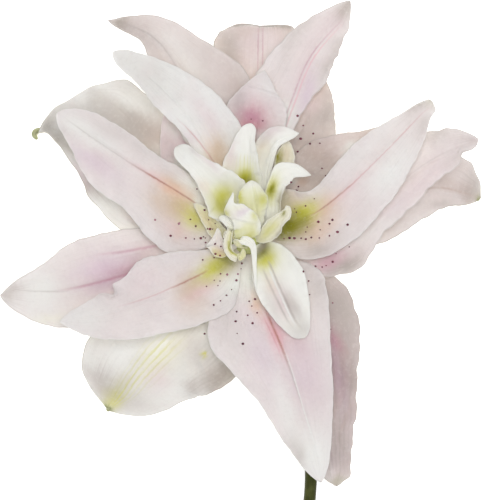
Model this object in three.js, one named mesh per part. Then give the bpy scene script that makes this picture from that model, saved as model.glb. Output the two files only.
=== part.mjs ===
// A cut double oriental lily: one open bloom lying on its back, face up, with a short length of stem.
// Millimetres. X is to the right and Y to the top of the bloom seen face on, Z is up from the surface.
// The bloom's axis is the Z axis. Its outer tepals arch over and stand on their tips, and the stem
// bends out from under the bloom and lies along the surface.

import * as THREE from 'three';

// Driving dimensions of the green parts
const STEM_DIAMETER = 5.2;
const STEM_SIDES = 12;
const STEM_STEPS = 48;
const STEM_TOP = 19.7;
const RECEPTACLE_BOTTOM = 20;
const RECEPTACLE_SIDES = 24;
const SEAT_GAP = 0.9;

// Radius of the receptacle at each height, from its foot to its crown
const RECEPTACLE_PROFILE = [
  [0, RECEPTACLE_BOTTOM],
  [2.8, RECEPTACLE_BOTTOM],
  [4.6, 22],
  [6.4, 26],
  [6.7, 31],
  [6.5, 37],
  [5.6, 42],
  [4.2, 46],
  [2.4, 48.5],
  [0, 49.5],
];

// Middle line of the stem, from under the receptacle to its cut end
const STEM_ROUTE = [
  [0, 0, STEM_TOP],
  [0, -0.1, 16],
  [0.8, -3.2, 8.6],
  [3.6, -10.5, 3.8],
  [10.5, -27, 2.7],
  [19.5, -52, 2.7],
  [25.6, -78, 2.7],
  [27.2, -97, 2.7],
  [26.6, -112, 2.7],
  [23.6, -145, 2.7],
  [19, -178, 2.7],
];

// Sheet thickness and mesh fineness
const TEPAL = { thickness: 1.1, rows: 16, columns: 6 };
const PETALOID = { thickness: 0.8, rows: 12, columns: 4 };

// The tip's last share of the length, over which it closes, and how much of the width it loses there
const TIP_ROUNDING = 0.07;
const TIP_CLOSING = 0.9;

// How far the frills of the right margin lag behind those of the left one, as a share of a frill
const FRILL_LAG = 0.31;

// Share of the length over which a direction is measured
const NUDGE = 0.004;

// Above this likeness to the sheet's overall direction, its crosswise direction follows the midrib
const FOLLOW_LIMIT = 0.67;

// Every tepal and petaloid is a sheet grown along its midrib.
// root: angle round the receptacle in degrees, height of the attachment
// midrib: points from beyond the root to the tip, each x, y, z
// left, right: half widths at even steps from root to tip, seen from above looking outwards
// cup: how far the margins rise (or fall, when negative) as a share of the half width, root to tip
// roll: degrees that lift the left margin and lower the right one, root to tip; none where left out
// wave: height of the frilled margin, and number of frills; none where left out
const OUTER_TEPALS = {
  tepal_outer_top: {
    root: [88, 29],
    midrib: [[2, 28, 32], [4, 54, 33], [5, 80, 28], [5.5, 91, 15], [5.4, 84, 1]],
    left: [3, 6, 9, 13, 17, 18.5, 12.5, 6, 3],
    right: [3, 5, 8, 11, 14, 16.5, 14, 7, 3],
    cup: [0.1, 0.03, -0.05],
    wave: [0.8, 3],
  },
  tepal_outer_left: {
    root: [158, 29],
    midrib: [[-25, 14, 34], [-45, 26, 35], [-66, 39, 27], [-84, 47.5, 11], [-89.8, 45, 0.9]],
    left: [3, 11, 19, 22.4, 17.6, 10, 4, 1.6, 1],
    right: [3, 9.6, 19, 26.8, 29.2, 32.6, 15.4, 1.8, 1],
    cup: [0.15, -0.05, -0.15],
    wave: [1, 3],
  },
  tepal_outer_lower_left: {
    root: [240, 28],
    midrib: [[-17, -19, 32], [-30, -33, 34], [-45, -49, 28], [-59.5, -71.5, 1.8]],
    left: [3, 14, 25, 32, 35, 33, 30, 24, 12],
    right: [3, 10, 17, 20.5, 22.6, 23, 22.6, 20.5, 15],
    cup: [0.15, -0.05, -0.15],
    wave: [1, 3],
  },
  tepal_outer_bottom: {
    root: [290, 29],
    midrib: [[17, -28, 34], [27, -52, 33], [33.5, -78, 22], [37.5, -104.5, 0.9]],
    left: [3, 9, 24, 25.5, 21, 16, 12.5, 9, 5],
    right: [3, 9, 17, 20, 19, 15, 11, 8, 4],
    cup: [0.05, -0.05, -0.1],
    wave: [1, 4],
  },
  tepal_outer_right: {
    root: [358, 29],
    midrib: [[30, 6, 33.5], [54, 14, 33], [79, 21, 20], [99, 17, 0.9]],
    left: [2.4, 8, 14, 16, 16, 15.8, 7.5],
    right: [2.4, 8, 14, 15, 11.5, 6.6, 1.6],
    cup: [0.1, -0.03, -0.1],
    wave: [0.8, 3],
  },
};

const MIDDLE_TEPALS = {
  tepal_middle_upper_left: {
    root: [112, 36],
    midrib: [[-10, 31, 41.5], [-20, 58, 43], [-37, 83, 40], [-58, 92, 32]],
    left: [2.6, 6, 11, 13.6, 10.2, 4, 1],
    right: [2.6, 9, 16, 23, 14, 7, 1],
    cup: [0.2, 0.03, 0.1],
    wave: [0.6, 3],
  },
  tepal_middle_left: {
    root: [134, 32.5],
    midrib: [[-12, 19, 36], [-20, 38, 38], [-28, 54, 37], [-36, 68, 33]],
    left: [2.6, 8, 14, 17, 12, 5, 1],
    right: [2.6, 5, 9, 12, 10, 6, 1],
    cup: [0.1, 0, 0],
    wave: [0.5, 3],
  },
  tepal_middle_lower_left: {
    root: [190, 33.5],
    midrib: [[-30, -7, 38.5], [-55, -15.5, 38], [-79, -21, 29], [-104, -23, 14]],
    left: [2.6, 9, 15, 18, 17.5, 13.2, 3.5],
    right: [2.6, 9, 16, 19, 18, 10, 2],
    cup: [0.1, 0.05, 0.1],
    wave: [0.8, 3],
  },
  tepal_middle_right: {
    root: [350, 33.5],
    midrib: [[30, -1, 39], [52, 13, 41], [75, 31, 36], [97, 42, 27]],
    left: [2.6, 6, 10, 13, 15, 14.8, 13.4, 12.7, 10, 3.8],
    right: [2.6, 8, 14, 17, 12.4, 10.2, 9.2, 7.6, 5.4, 2],
    cup: [0.1, 0.03, 0],
    wave: [0.6, 3],
  },
  tepal_middle_upper_right: {
    root: [38, 36],
    midrib: [[20, 18, 40], [33, 31, 42.5], [46, 40, 42], [58, 47, 38]],
    left: [2.6, 6, 11, 12, 8, 3.5, 1],
    right: [2.6, 5, 8, 8, 6, 3, 1],
    cup: [0.1, 0, 0],
    wave: [0.4, 2],
  },
  tepal_middle_top: {
    root: [60, 32.5],
    midrib: [[14, 26, 36.5], [22, 44, 39], [28, 60, 38.5], [31, 73, 34]],
    left: [2.6, 6, 10, 13, 12, 7, 1],
    right: [2.6, 7, 13, 15.5, 11, 4.5, 1],
    cup: [0.1, 0, 0],
    wave: [0.5, 3],
  },
};

const INNER_TEPALS = {
  tepal_inner_left: {
    root: [163, 40.5],
    midrib: [[-22, 15, 46.4], [-42, 28, 51], [-62, 41, 48], [-79, 53, 40]],
    left: [2.2, 21, 22.5, 17.5, 16.5, 9, 3],
    right: [2.2, 5, 9, 8.5, 10, 9, 3.5],
    cup: [0.1, 0.05, 0],
    wave: [0.4, 3],
  },
  tepal_inner_upper_left: {
    root: [127, 43],
    midrib: [[-12, 27, 50], [-22, 47, 54], [-37, 64, 53], [-55.5, 78, 47]],
    left: [2.2, 4, 5, 5.5, 7, 5, 1.5],
    right: [2.2, 12, 17, 16, 13, 8, 1.5],
    cup: [0.1, 0, 0],
    wave: [0.4, 3],
  },
  tepal_inner_top: {
    root: [95, 40.5],
    midrib: [[2, 26, 46], [3.5, 42, 49.5], [5, 56, 50.3], [7.2, 70.4, 48.2]],
    left: [2.2, 4, 6, 9, 12, 13.5, 12.5, 7, 0.8],
    right: [2.2, 4, 6, 9, 11, 12, 11, 5.6, 0.8],
    cup: [0.15, 0.05, 0],
    wave: [0.3, 2],
  },
  tepal_inner_upper_right: {
    root: [64, 38],
    midrib: [[12, 34, 44], [18, 56, 46], [26, 78, 45], [43, 99.4, 39]],
    left: [2.2, 5, 10, 17.5, 15, 9, 1],
    right: [2.2, 3, 3.5, 6, 11.5, 9.5, 1.5],
    cup: [0.1, 0, 0],
    wave: [0.5, 3],
  },
  tepal_inner_right: {
    root: [14, 40],
    midrib: [[27, 9.5, 46], [44, 25, 50], [60, 41, 46], [77, 59, 38]],
    left: [2.2, 15, 9, 9.8, 9.8, 6, 1.2],
    right: [2.2, 15, 18, 17.5, 15, 10, 2],
    cup: [0.15, 0.08, 0],
    wave: [0.4, 3],
  },
  tepal_inner_bottom: {
    root: [278, 38.5],
    midrib: [[7, -25, 44], [16, -48, 46], [23, -74, 38], [31, -102, 22]],
    left: [2.2, 24, 25.5, 19.5, 15.5, 10.5, 2.5],
    right: [2.2, 18, 27.5, 23, 15.5, 9.5, 2.5],
    cup: [0.1, 0.05, 0],
    wave: [0.5, 3],
  },
  tepal_inner_lower_left: {
    root: [232, 40.5],
    midrib: [[-21, -15.5, 46.5], [-38, -24.5, 49], [-58, -31, 46], [-78, -34, 38]],
    left: [2.2, 18, 18, 15, 12.5, 8.5, 1.5],
    right: [2.2, 9, 15, 17, 11, 7, 1.5],
    cup: [0.1, 0.05, 0],
    wave: [0.4, 3],
  },
};

const PETALOIDS = {
  petaloid_top: {
    root: [95, 45],
    midrib: [[-1, 16, 48], [-1.5, 27, 52.5], [-0.6, 38, 56.5], [1.6, 48, 58.5]],
    left: [1, 2.4, 4.2, 6.8, 9.2, 8.4, 6, 4.4, 1.8],
    right: [1, 3, 5, 6.7, 6.9, 6.1, 4.6, 3, 1.6],
    cup: [0.5, 0.3, 0.2],
    wave: [0.2, 2],
  },
  petaloid_top_right: {
    root: [58, 43],
    midrib: [[6.8, 18, 49], [8.4, 31, 54], [12, 40.2, 57.5], [21.4, 44, 56]],
    left: [1, 2, 3, 5, 6.6, 7.2, 6.6, 4.6, 0.8],
    right: [1, 1.8, 2, 2.2, 2.4, 2.3, 2.2, 1.8, 0.6],
    cup: [0.3, 0.2, 0],
    roll: [-5, -15, -10],
    wave: [0.2, 2],
  },
  petaloid_back_right: {
    root: [34, 41.5],
    midrib: [[10.6, 16.5, 47.4], [14, 28, 51.4], [15.8, 34.6, 52.4], [17.2, 41, 51.4]],
    left: [0.9, 1.4, 3, 3.6, 1.4],
    right: [0.9, 2.4, 4, 3.9, 0.9],
    cup: [0.4, 0.4, 0.2],
    wave: [0.2, 2],
  },
  petaloid_right: {
    root: [30, 45.3],
    midrib: [[9.8, 8, 50], [10.6, 17, 55.5], [12.3, 24.6, 59.5], [18.2, 28.8, 60], [26.4, 26.6, 57.5]],
    left: [1, 2, 2.6, 3, 3.4, 3.2, 3.2, 4.6, 3, 1.8, 0.5],
    right: [1, 2, 2.8, 3.2, 3.4, 3.8, 4.4, 4.8, 3.8, 2.4, 0.5],
    cup: [0.4, 0.3, 0.1],
    wave: [0.2, 2],
  },
  petaloid_left: {
    root: [140, 44],
    midrib: [[-4.8, 10.4, 49.2], [-9.6, 17.5, 53.2], [-16.3, 25, 56.6], [-23.8, 33.3, 57.4], [-29.4, 38.4, 55.2]],
    left: [1, 3, 5.5, 8, 9.4, 7.2, 4.8, 4, 3.9, 3.6, 2.4],
    right: [1, 3, 6, 8.8, 10.2, 9.8, 8.2, 5.6, 4.4, 3.8, 2.4],
    cup: [0.5, 0.4, 0.1],
    wave: [0.3, 2],
  },
  petaloid_bottom: {
    root: [300, 44.5],
    midrib: [[7, -8, 49], [12, -19, 52], [17, -30, 52.5], [22.5, -41, 50]],
    left: [1, 5, 9.5, 12, 12.4, 11.4, 9.6, 7, 2.8],
    right: [1, 2.5, 5, 7.5, 8.5, 8, 6.6, 4.6, 2],
    cup: [0.3, 0.2, 0.1],
    wave: [0.3, 2],
  },
  petaloid_bottom_strip: {
    root: [270, 46.8],
    midrib: [[1.2, -2.8, 53], [1.3, -0.4, 56.8], [2.6, -3.8, 58.2], [2.9, -12, 56.6], [2.8, -21, 54.2]],
    left: [0.6, 0.8, 1.2, 1.7, 1.8, 1.4, 1, 0.7, 0.4],
    right: [0.6, 0.9, 1.5, 1.8, 1.8, 1.3, 1, 0.7, 0.4],
    cup: [0.3, 0.3, 0.2],
    wave: [0.1, 2],
  },
  petaloid_crumpled: {
    root: [215, 48.5],
    midrib: [[-2.3, -2.3, 54], [-2, -0.9, 57.4], [-3.8, 0.1, 58.2], [-5.7, -1.7, 57.6],
      [-6.7, -4.2, 56.2], [-5, -6.6, 54.6], [-2.6, -6.6, 54]],
    left: [0.5, 0.8, 1.3, 1.5, 1.6, 1.6, 1.4, 0.6],
    right: [0.5, 0.8, 1.3, 1.5, 1.6, 1.6, 1.4, 0.6],
    cup: [0.4, 0.5, 0.3],
    wave: [0.3, 2],
  },
  petaloid_bud: {
    root: [75, 47.5],
    midrib: [[3.2, 7, 53.5], [3.4, 12, 58], [2.6, 18, 60.5], [1.6, 24.4, 61]],
    left: [0.8, 3.5, 5, 6, 6.4, 5.6, 1.6],
    right: [0.8, 3, 4, 5, 5.8, 4.2, 1.6],
    cup: [-0.3, -0.4, -0.3],
  },
  petaloid_hood: {
    root: [110, 49.1],
    midrib: [[1.2, 1, 54.5], [0, 6, 60.5], [-3, 11, 63.5], [-5.8, 19.6, 64]],
    left: [0.8, 2, 3.2, 4, 4.4, 4.6, 4.6, 4.5, 4.4, 4.6, 6, 3.2, 0.4],
    right: [0.8, 2.4, 3.6, 4.4, 5, 5.6, 5.8, 5.4, 5, 4.4, 2.8, 0.6, 0.3],
    cup: [-0.2, -0.3, -0.3],
  },
  petaloid_small_left: {
    root: [160, 45.5],
    midrib: [[-8.1, -0.6, 52], [-8.2, 2.9, 54.5], [-6.8, 5.4, 56], [-8.8, 8, 56], [-11.6, 9.4, 54.5]],
    left: [0.7, 1.2, 1.3, 1.4, 1.6, 1.6, 0.8],
    right: [0.7, 1.2, 1.3, 1.4, 1.8, 1.8, 0.8],
    cup: [0.3, 0.2, 0.1],
  },
  petaloid_small_right: {
    root: [2, 46.3],
    midrib: [[6.3, 1.3, 49.7], [10, 4.6, 52.2], [13.8, 8.3, 53.9], [16.5, 12.1, 54.3], [16.4, 14.2, 53.8]],
    left: [0.8, 2, 3, 3.5, 2.2, 1.2, 0.8],
    right: [0.8, 2.4, 3.8, 4, 3.2, 1.6, 0.8],
    cup: [0.4, 0.4, 0.2],
    wave: [0.1, 2],
  },
  petaloid_far_left: {
    root: [182, 44],
    midrib: [[-11, 3.5, 47], [-15, 8, 49], [-19, 12.5, 49.5], [-22, 15, 48.5]],
    left: [0.8, 3, 4.2, 3.6, 2.6, 1.6, 0.7],
    right: [0.8, 2.2, 2.6, 2, 0.7],
    cup: [0.3, 0.2, 0],
  },
  petaloid_tooth: {
    root: [208, 45.5],
    midrib: [[-9.8, -4, 48.5], [-11.2, -0.8, 50], [-11.9, 2.4, 51], [-12.1, 4.9, 51]],
    left: [0.7, 2, 4.5, 6, 2.6, 1.2, 0.5],
    right: [0.7, 1.2, 1.4, 1.4, 1.3, 1.1, 0.5],
    cup: [0.2, 0.2, 0],
  },
};

// Colour and finish of each kind of piece
const FINISHES = {
  outer: { color: 0xd9d3d0, roughness: 0.55, metalness: 0 },
  middle: { color: 0xe2d5d8, roughness: 0.55, metalness: 0 },
  inner: { color: 0xe9e3e3, roughness: 0.55, metalness: 0 },
  petaloid: { color: 0xeeeedd, roughness: 0.5, metalness: 0 },
  green: { color: 0x3b4a1c, roughness: 0.6, metalness: 0 },
};

// Smooth value or point through evenly spaced knots, at a share u of the whole
function alongKnots(knots, u) {
  const spans = knots.length - 1;
  const place = Math.min(Math.max(u, 0), 1) * spans;
  const start = Math.min(Math.floor(place), spans - 1);
  const t = place - start;
  const b = knots[start];
  const c = knots[start + 1];
  const mix = (a0, b0, c0, d0) => 0.5 * (2 * b0 + (c0 - a0) * t + (2 * a0 - 5 * b0 + 4 * c0 - d0) * t * t
    + (3 * b0 - a0 - 3 * c0 + d0) * t * t * t);
  if (typeof b === 'number') {
    const a = start > 0 ? knots[start - 1] : 2 * b - c;
    const d = start + 2 <= spans ? knots[start + 2] : 2 * c - b;
    return mix(a, b, c, d);
  }
  return b.map((_, axis) => {
    const a = start > 0 ? knots[start - 1][axis] : 2 * b[axis] - c[axis];
    const d = start + 2 <= spans ? knots[start + 2][axis] : 2 * c[axis] - b[axis];
    return mix(a, b[axis], c[axis], d);
  });
}

// Radius of the receptacle at a height, between the points of its profile
function receptacleRadius(height) {
  for (let i = 1; i < RECEPTACLE_PROFILE.length; i += 1) {
    const [lowerRadius, lowerHeight] = RECEPTACLE_PROFILE[i - 1];
    const [upperRadius, upperHeight] = RECEPTACLE_PROFILE[i];
    if (height <= upperHeight && upperHeight > lowerHeight) {
      const share = (height - lowerHeight) / (upperHeight - lowerHeight);
      return lowerRadius + (upperRadius - lowerRadius) * share;
    }
  }
  return 0;
}

// The midrib's knots, starting where the sheet is seated on the receptacle
function midribKnots(sheet) {
  const [angle, height] = sheet.root;
  const radius = receptacleRadius(height) + SEAT_GAP;
  const turn = THREE.MathUtils.degToRad(angle);
  return [[radius * Math.cos(turn), radius * Math.sin(turn), height], ...sheet.midrib];
}

// Directions at a place on the midrib: along it, to its left, and out of the sheet's upper face
function sheetFrame(knots, u, rollDegrees) {
  const before = new THREE.Vector3(...alongKnots(knots, u - NUDGE));
  const after = new THREE.Vector3(...alongKnots(knots, u + NUDGE));
  const along = after.sub(before).normalize();
  const first = knots[0];
  const last = knots[knots.length - 1];
  const overall = new THREE.Vector3(last[0] - first[0], last[1] - first[1], 0).normalize();
  const level = new THREE.Vector3(along.x, along.y, 0);
  const weight = THREE.MathUtils.clamp(level.dot(overall) / FOLLOW_LIMIT, 0, 1);
  const heading = level.multiplyScalar(weight).addScaledVector(overall, 1 - weight).normalize();
  const left = new THREE.Vector3(-heading.y, heading.x, 0);
  left.addScaledVector(along, -left.dot(along)).normalize();
  const out = new THREE.Vector3().crossVectors(along, left);
  const roll = THREE.MathUtils.degToRad(rollDegrees);
  const rolledLeft = left.clone().multiplyScalar(Math.cos(roll)).addScaledVector(out, Math.sin(roll));
  const rolledOut = out.clone().multiplyScalar(Math.cos(roll)).addScaledVector(left, -Math.sin(roll));
  return { left: rolledLeft, out: rolledOut };
}

// Point of the sheet's middle surface; u runs from root to tip, v from the right margin to the left
function sheetPoint(sheet, knots, u, v) {
  const { roll = [0, 0], wave = [0, 0] } = sheet;
  const centre = new THREE.Vector3(...alongKnots(knots, u));
  const { left, out } = sheetFrame(knots, u, alongKnots(roll, u));
  let halfWidth = alongKnots(v > 0 ? sheet.left : sheet.right, u);
  if (u > 1 - TIP_ROUNDING) {
    const share = (u - 1 + TIP_ROUNDING) / TIP_ROUNDING;
    halfWidth *= Math.sqrt(1 - TIP_CLOSING * share * share);
  }
  const [waveHeight, waveCount] = wave;
  const frill = waveHeight * v * v * Math.sin(2 * Math.PI * (waveCount * u + FRILL_LAG * v));
  const rise = alongKnots(sheet.cup, u) * halfWidth * v * v + frill;
  return centre.addScaledVector(left, v * halfWidth).addScaledVector(out, rise);
}

// Closed sheet of even thickness round the middle surface
function sheetGeometry(sheet, { thickness, rows, columns }) {
  const knots = midribKnots(sheet);
  const positions = [];
  for (const side of [1, -1]) {
    for (let i = 0; i <= rows; i += 1) {
      for (let j = 0; j <= columns; j += 1) {
        const u = i / rows;
        const v = 1 - (2 * j) / columns;
        const point = sheetPoint(sheet, knots, u, v);
        const lengthwise = sheetPoint(sheet, knots, Math.min(u + NUDGE, 1), v)
          .sub(sheetPoint(sheet, knots, Math.max(u - NUDGE, 0), v));
        const crosswise = sheetPoint(sheet, knots, u, Math.min(v + NUDGE, 1))
          .sub(sheetPoint(sheet, knots, u, Math.max(v - NUDGE, -1)));
        const normal = lengthwise.cross(crosswise).normalize();
        point.addScaledVector(normal, (side * thickness) / 2);
        positions.push(point.x, point.y, point.z);
      }
    }
  }
  const index = (side, i, j) => side * (rows + 1) * (columns + 1) + i * (columns + 1) + j;
  const faces = [];
  const quad = (a, b, c, d) => faces.push(a, b, c, a, c, d);
  for (let i = 0; i < rows; i += 1) {
    for (let j = 0; j < columns; j += 1) {
      quad(index(0, i, j), index(0, i, j + 1), index(0, i + 1, j + 1), index(0, i + 1, j));
      quad(index(1, i, j), index(1, i + 1, j), index(1, i + 1, j + 1), index(1, i, j + 1));
    }
    quad(index(0, i, 0), index(0, i + 1, 0), index(1, i + 1, 0), index(1, i, 0));
    quad(index(0, i, columns), index(1, i, columns), index(1, i + 1, columns), index(0, i + 1, columns));
  }
  for (let j = 0; j < columns; j += 1) {
    quad(index(0, 0, j), index(1, 0, j), index(1, 0, j + 1), index(0, 0, j + 1));
    quad(index(0, rows, j), index(0, rows, j + 1), index(1, rows, j + 1), index(1, rows, j));
  }
  const geometry = new THREE.BufferGeometry();
  geometry.setAttribute('position', new THREE.Float32BufferAttribute(positions, 3));
  geometry.setIndex(faces);
  geometry.computeVertexNormals();
  return geometry;
}

// The swollen end of the stem that carries every tepal
function receptacleGeometry() {
  const profile = RECEPTACLE_PROFILE.map(([radius, height]) => new THREE.Vector2(radius, height));
  const geometry = new THREE.LatheGeometry(profile, RECEPTACLE_SIDES);
  geometry.rotateX(Math.PI / 2);
  return geometry;
}

function stemGeometry() {
  const route = new THREE.CatmullRomCurve3(STEM_ROUTE.map((point) => new THREE.Vector3(...point)));
  const section = new THREE.Shape();
  for (let side = 0; side < STEM_SIDES; side += 1) {
    const angle = (2 * Math.PI * side) / STEM_SIDES;
    const x = (STEM_DIAMETER / 2) * Math.cos(angle);
    const y = (STEM_DIAMETER / 2) * Math.sin(angle);
    if (side === 0) {
      section.moveTo(x, y);
    } else {
      section.lineTo(x, y);
    }
  }
  section.closePath();
  return new THREE.ExtrudeGeometry(section, { steps: STEM_STEPS, extrudePath: route });
}

function piece(name, geometry, finish) {
  const mesh = new THREE.Mesh(geometry, new THREE.MeshStandardMaterial(FINISHES[finish]));
  mesh.name = name;
  return mesh;
}

function whorl(sheets, mesh, finish) {
  const group = new THREE.Group();
  for (const [name, sheet] of Object.entries(sheets)) {
    group.add(piece(name, sheetGeometry(sheet, mesh), finish));
  }
  return group;
}

// The whole flower, moved so that its box stands on Z = 0 and is centred on the origin
const lily = new THREE.Group();
lily.add(piece('stem', stemGeometry(), 'green'));
lily.add(piece('receptacle', receptacleGeometry(), 'green'));
lily.add(whorl(OUTER_TEPALS, TEPAL, 'outer'));
lily.add(whorl(MIDDLE_TEPALS, TEPAL, 'middle'));
lily.add(whorl(INNER_TEPALS, TEPAL, 'inner'));
lily.add(whorl(PETALOIDS, PETALOID, 'petaloid'));

const box = new THREE.Box3().setFromObject(lily);
const middle = box.getCenter(new THREE.Vector3());
lily.position.set(-middle.x, -middle.y, -box.min.z);

export default lily;
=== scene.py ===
"""A cut double oriental lily: one open bloom lying on its back, face up, with a short length of stem.

Sizes are millimetres in the bloom's own frame: X to the right and Y to the top of the bloom seen face
on, Z up from the surface, the bloom's axis as the Z axis. They become metres in the model's frame
when a mesh is made. Every tepal and petaloid is a thin sheet grown along its midrib.
"""

import math

import bpy
import numpy as np
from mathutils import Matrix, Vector
from mathutils.bvhtree import BVHTree


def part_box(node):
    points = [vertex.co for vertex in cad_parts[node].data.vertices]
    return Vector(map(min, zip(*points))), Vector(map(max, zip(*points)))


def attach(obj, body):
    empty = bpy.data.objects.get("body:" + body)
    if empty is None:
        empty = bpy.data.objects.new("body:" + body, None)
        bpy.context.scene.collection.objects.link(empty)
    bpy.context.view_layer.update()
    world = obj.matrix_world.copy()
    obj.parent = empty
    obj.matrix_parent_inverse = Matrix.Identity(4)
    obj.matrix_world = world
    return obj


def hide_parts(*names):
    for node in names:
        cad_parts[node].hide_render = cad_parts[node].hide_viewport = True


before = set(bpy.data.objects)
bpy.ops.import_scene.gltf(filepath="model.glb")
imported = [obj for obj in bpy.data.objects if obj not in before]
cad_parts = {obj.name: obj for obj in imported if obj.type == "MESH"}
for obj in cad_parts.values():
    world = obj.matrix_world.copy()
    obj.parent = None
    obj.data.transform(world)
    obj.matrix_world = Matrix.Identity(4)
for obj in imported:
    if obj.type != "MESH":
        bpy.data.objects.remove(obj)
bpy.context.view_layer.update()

MM = 0.001

# Height of the receptacle's foot and the place of the bloom's axis in the model's frame
RECEPTACLE_BOTTOM = 20
receptacle_low, receptacle_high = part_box("receptacle")
AXIS_X = (receptacle_low.x + receptacle_high.x) / 2
AXIS_Y = (receptacle_low.y + receptacle_high.y) / 2
SURFACE_Z = receptacle_low.z - RECEPTACLE_BOTTOM * MM

# Receptacle: radius at each height, from its foot to its crown, and the shallow lobes round it
RECEPTACLE_PROFILE = [
    (0, RECEPTACLE_BOTTOM), (2.8, RECEPTACLE_BOTTOM), (4.6, 22), (6.4, 26), (6.7, 31), (6.5, 37),
    (5.6, 42), (4.2, 46), (2.4, 48.5), (0, 49.5),
]
RECEPTACLE_SIDES = 72
RECEPTACLE_RINGS = 60
LOBES = 6
LOBE_SHARE = 0.16 / 6

# Stem: middle line from under the receptacle to its cut end, thickness and its share at the upper
# end and what it gains by the lower one, ribs, leaf scars (how far down, angle) and hollow cut ends
STEM_ROUTE = [
    (0, 0, 19.9), (0, -0.1, 16), (0.8, -3.2, 8.6), (3.6, -10.5, 3.8), (10.5, -27, 2.7), (19.5, -52, 2.7),
    (25.6, -78, 2.7), (27.2, -97, 2.7), (26.6, -112, 2.7), (23.6, -145, 2.7), (19, -178, 2.7),
]
STEM_DIAMETER = 5.2
STEM_SLIMMED = 0.96
STEM_GAIN = 0.03
STEM_SIDES = 40
STEM_RINGS = 260
RIBS = 5
RIB_HEIGHT = 0.05
RIB_TWIST = 0.012
SCARS = [(62, 1.2), (98, 3.6), (132, 5.4)]
SCAR_HEIGHT = 0.16
SCAR_LENGTH = 1.1
SCAR_SPREAD = 0.9
SCAR_BOW = 0.35
CAP_RINGS = 5
CAP_HOLLOW = 0.25

# Which way the wall of a tube faces: the step through the columns of its faces
OUTWARDS = 1
INWARDS = -1

# How far a sheet's root reaches into the receptacle
ROOT_DEPTH = 0.4

# Make of the tepals and of the petaloids: steps from root to tip and from margin to margin, thickness
# at the midrib and at the margin, height of the flutes, colour of the soft clouds, and how mottled
TEPAL = {
    "rows": 120, "columns": 56, "thickness": (0.95, 0.3), "flutes": 0.0, "clouds": "rosy", "mottling": 1.0,
}
PETALOID = {
    "rows": 72, "columns": 36, "thickness": (0.7, 0.28), "flutes": 0.12, "clouds": "cream", "mottling": 0.3,
}

# Every tepal and petaloid, seen from above looking outwards along it
# root: angle round the receptacle in degrees, height of the attachment
# midrib: points from beyond the root to the tip
# left, right: half widths at even steps from root to tip
# cup: how far the margins rise (or fall, when negative) as a share of the half width, root to tip
# roll: degrees that lift the left margin and lower the right one, root to tip
# wave: height of the frilled margin, and number of frills
OUTER_TEPALS = {
    "tepal_outer_top": {
        "root": [88, 29], "midrib": [[2, 28, 32], [4, 54, 33], [5, 80, 28], [5.5, 91, 15], [5.4, 84, 1]],
        "left": [3, 6, 9, 13, 17, 18.5, 12.5, 6, 3], "right": [3, 5, 8, 11, 14, 16.5, 14, 7, 3],
        "cup": [0.1, 0.03, -0.05], "wave": [0.8, 3],
    },
    "tepal_outer_left": {
        "root": [158, 29],
        "midrib": [[-25, 14, 34], [-45, 26, 35], [-66, 39, 27], [-84, 47.5, 11], [-89.8, 45, 0.9]],
        "left": [3, 11, 19, 22.4, 17.6, 10, 4, 1.6, 1],
        "right": [3, 9.6, 19, 26.8, 29.2, 32.6, 15.4, 1.8, 1],
        "cup": [0.15, -0.05, -0.15], "wave": [1, 3],
    },
    "tepal_outer_lower_left": {
        "root": [240, 28],
        "midrib": [[-17, -19, 32], [-30, -33, 34], [-45, -49, 28], [-59.5, -71.5, 1.8]],
        "left": [3, 14, 25, 32, 35, 33, 30, 24, 12],
        "right": [3, 10, 17, 20.5, 22.6, 23, 22.6, 20.5, 15],
        "cup": [0.15, -0.05, -0.15], "wave": [1, 3],
    },
    "tepal_outer_bottom": {
        "root": [290, 29],
        "midrib": [[17, -28, 34], [27, -52, 33], [33.5, -78, 22], [37.5, -104.5, 0.9]],
        "left": [3, 9, 24, 25.5, 21, 16, 12.5, 9, 5], "right": [3, 9, 17, 20, 19, 15, 11, 8, 4],
        "cup": [0.05, -0.05, -0.1], "wave": [1, 4],
    },
    "tepal_outer_right": {
        "root": [358, 29], "midrib": [[30, 6, 33.5], [54, 14, 33], [79, 21, 20], [99, 17, 0.9]],
        "left": [2.4, 8, 14, 16, 16, 15.8, 7.5], "right": [2.4, 8, 14, 15, 11.5, 6.6, 1.6],
        "cup": [0.1, -0.03, -0.1], "wave": [0.8, 3],
    },
}
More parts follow.
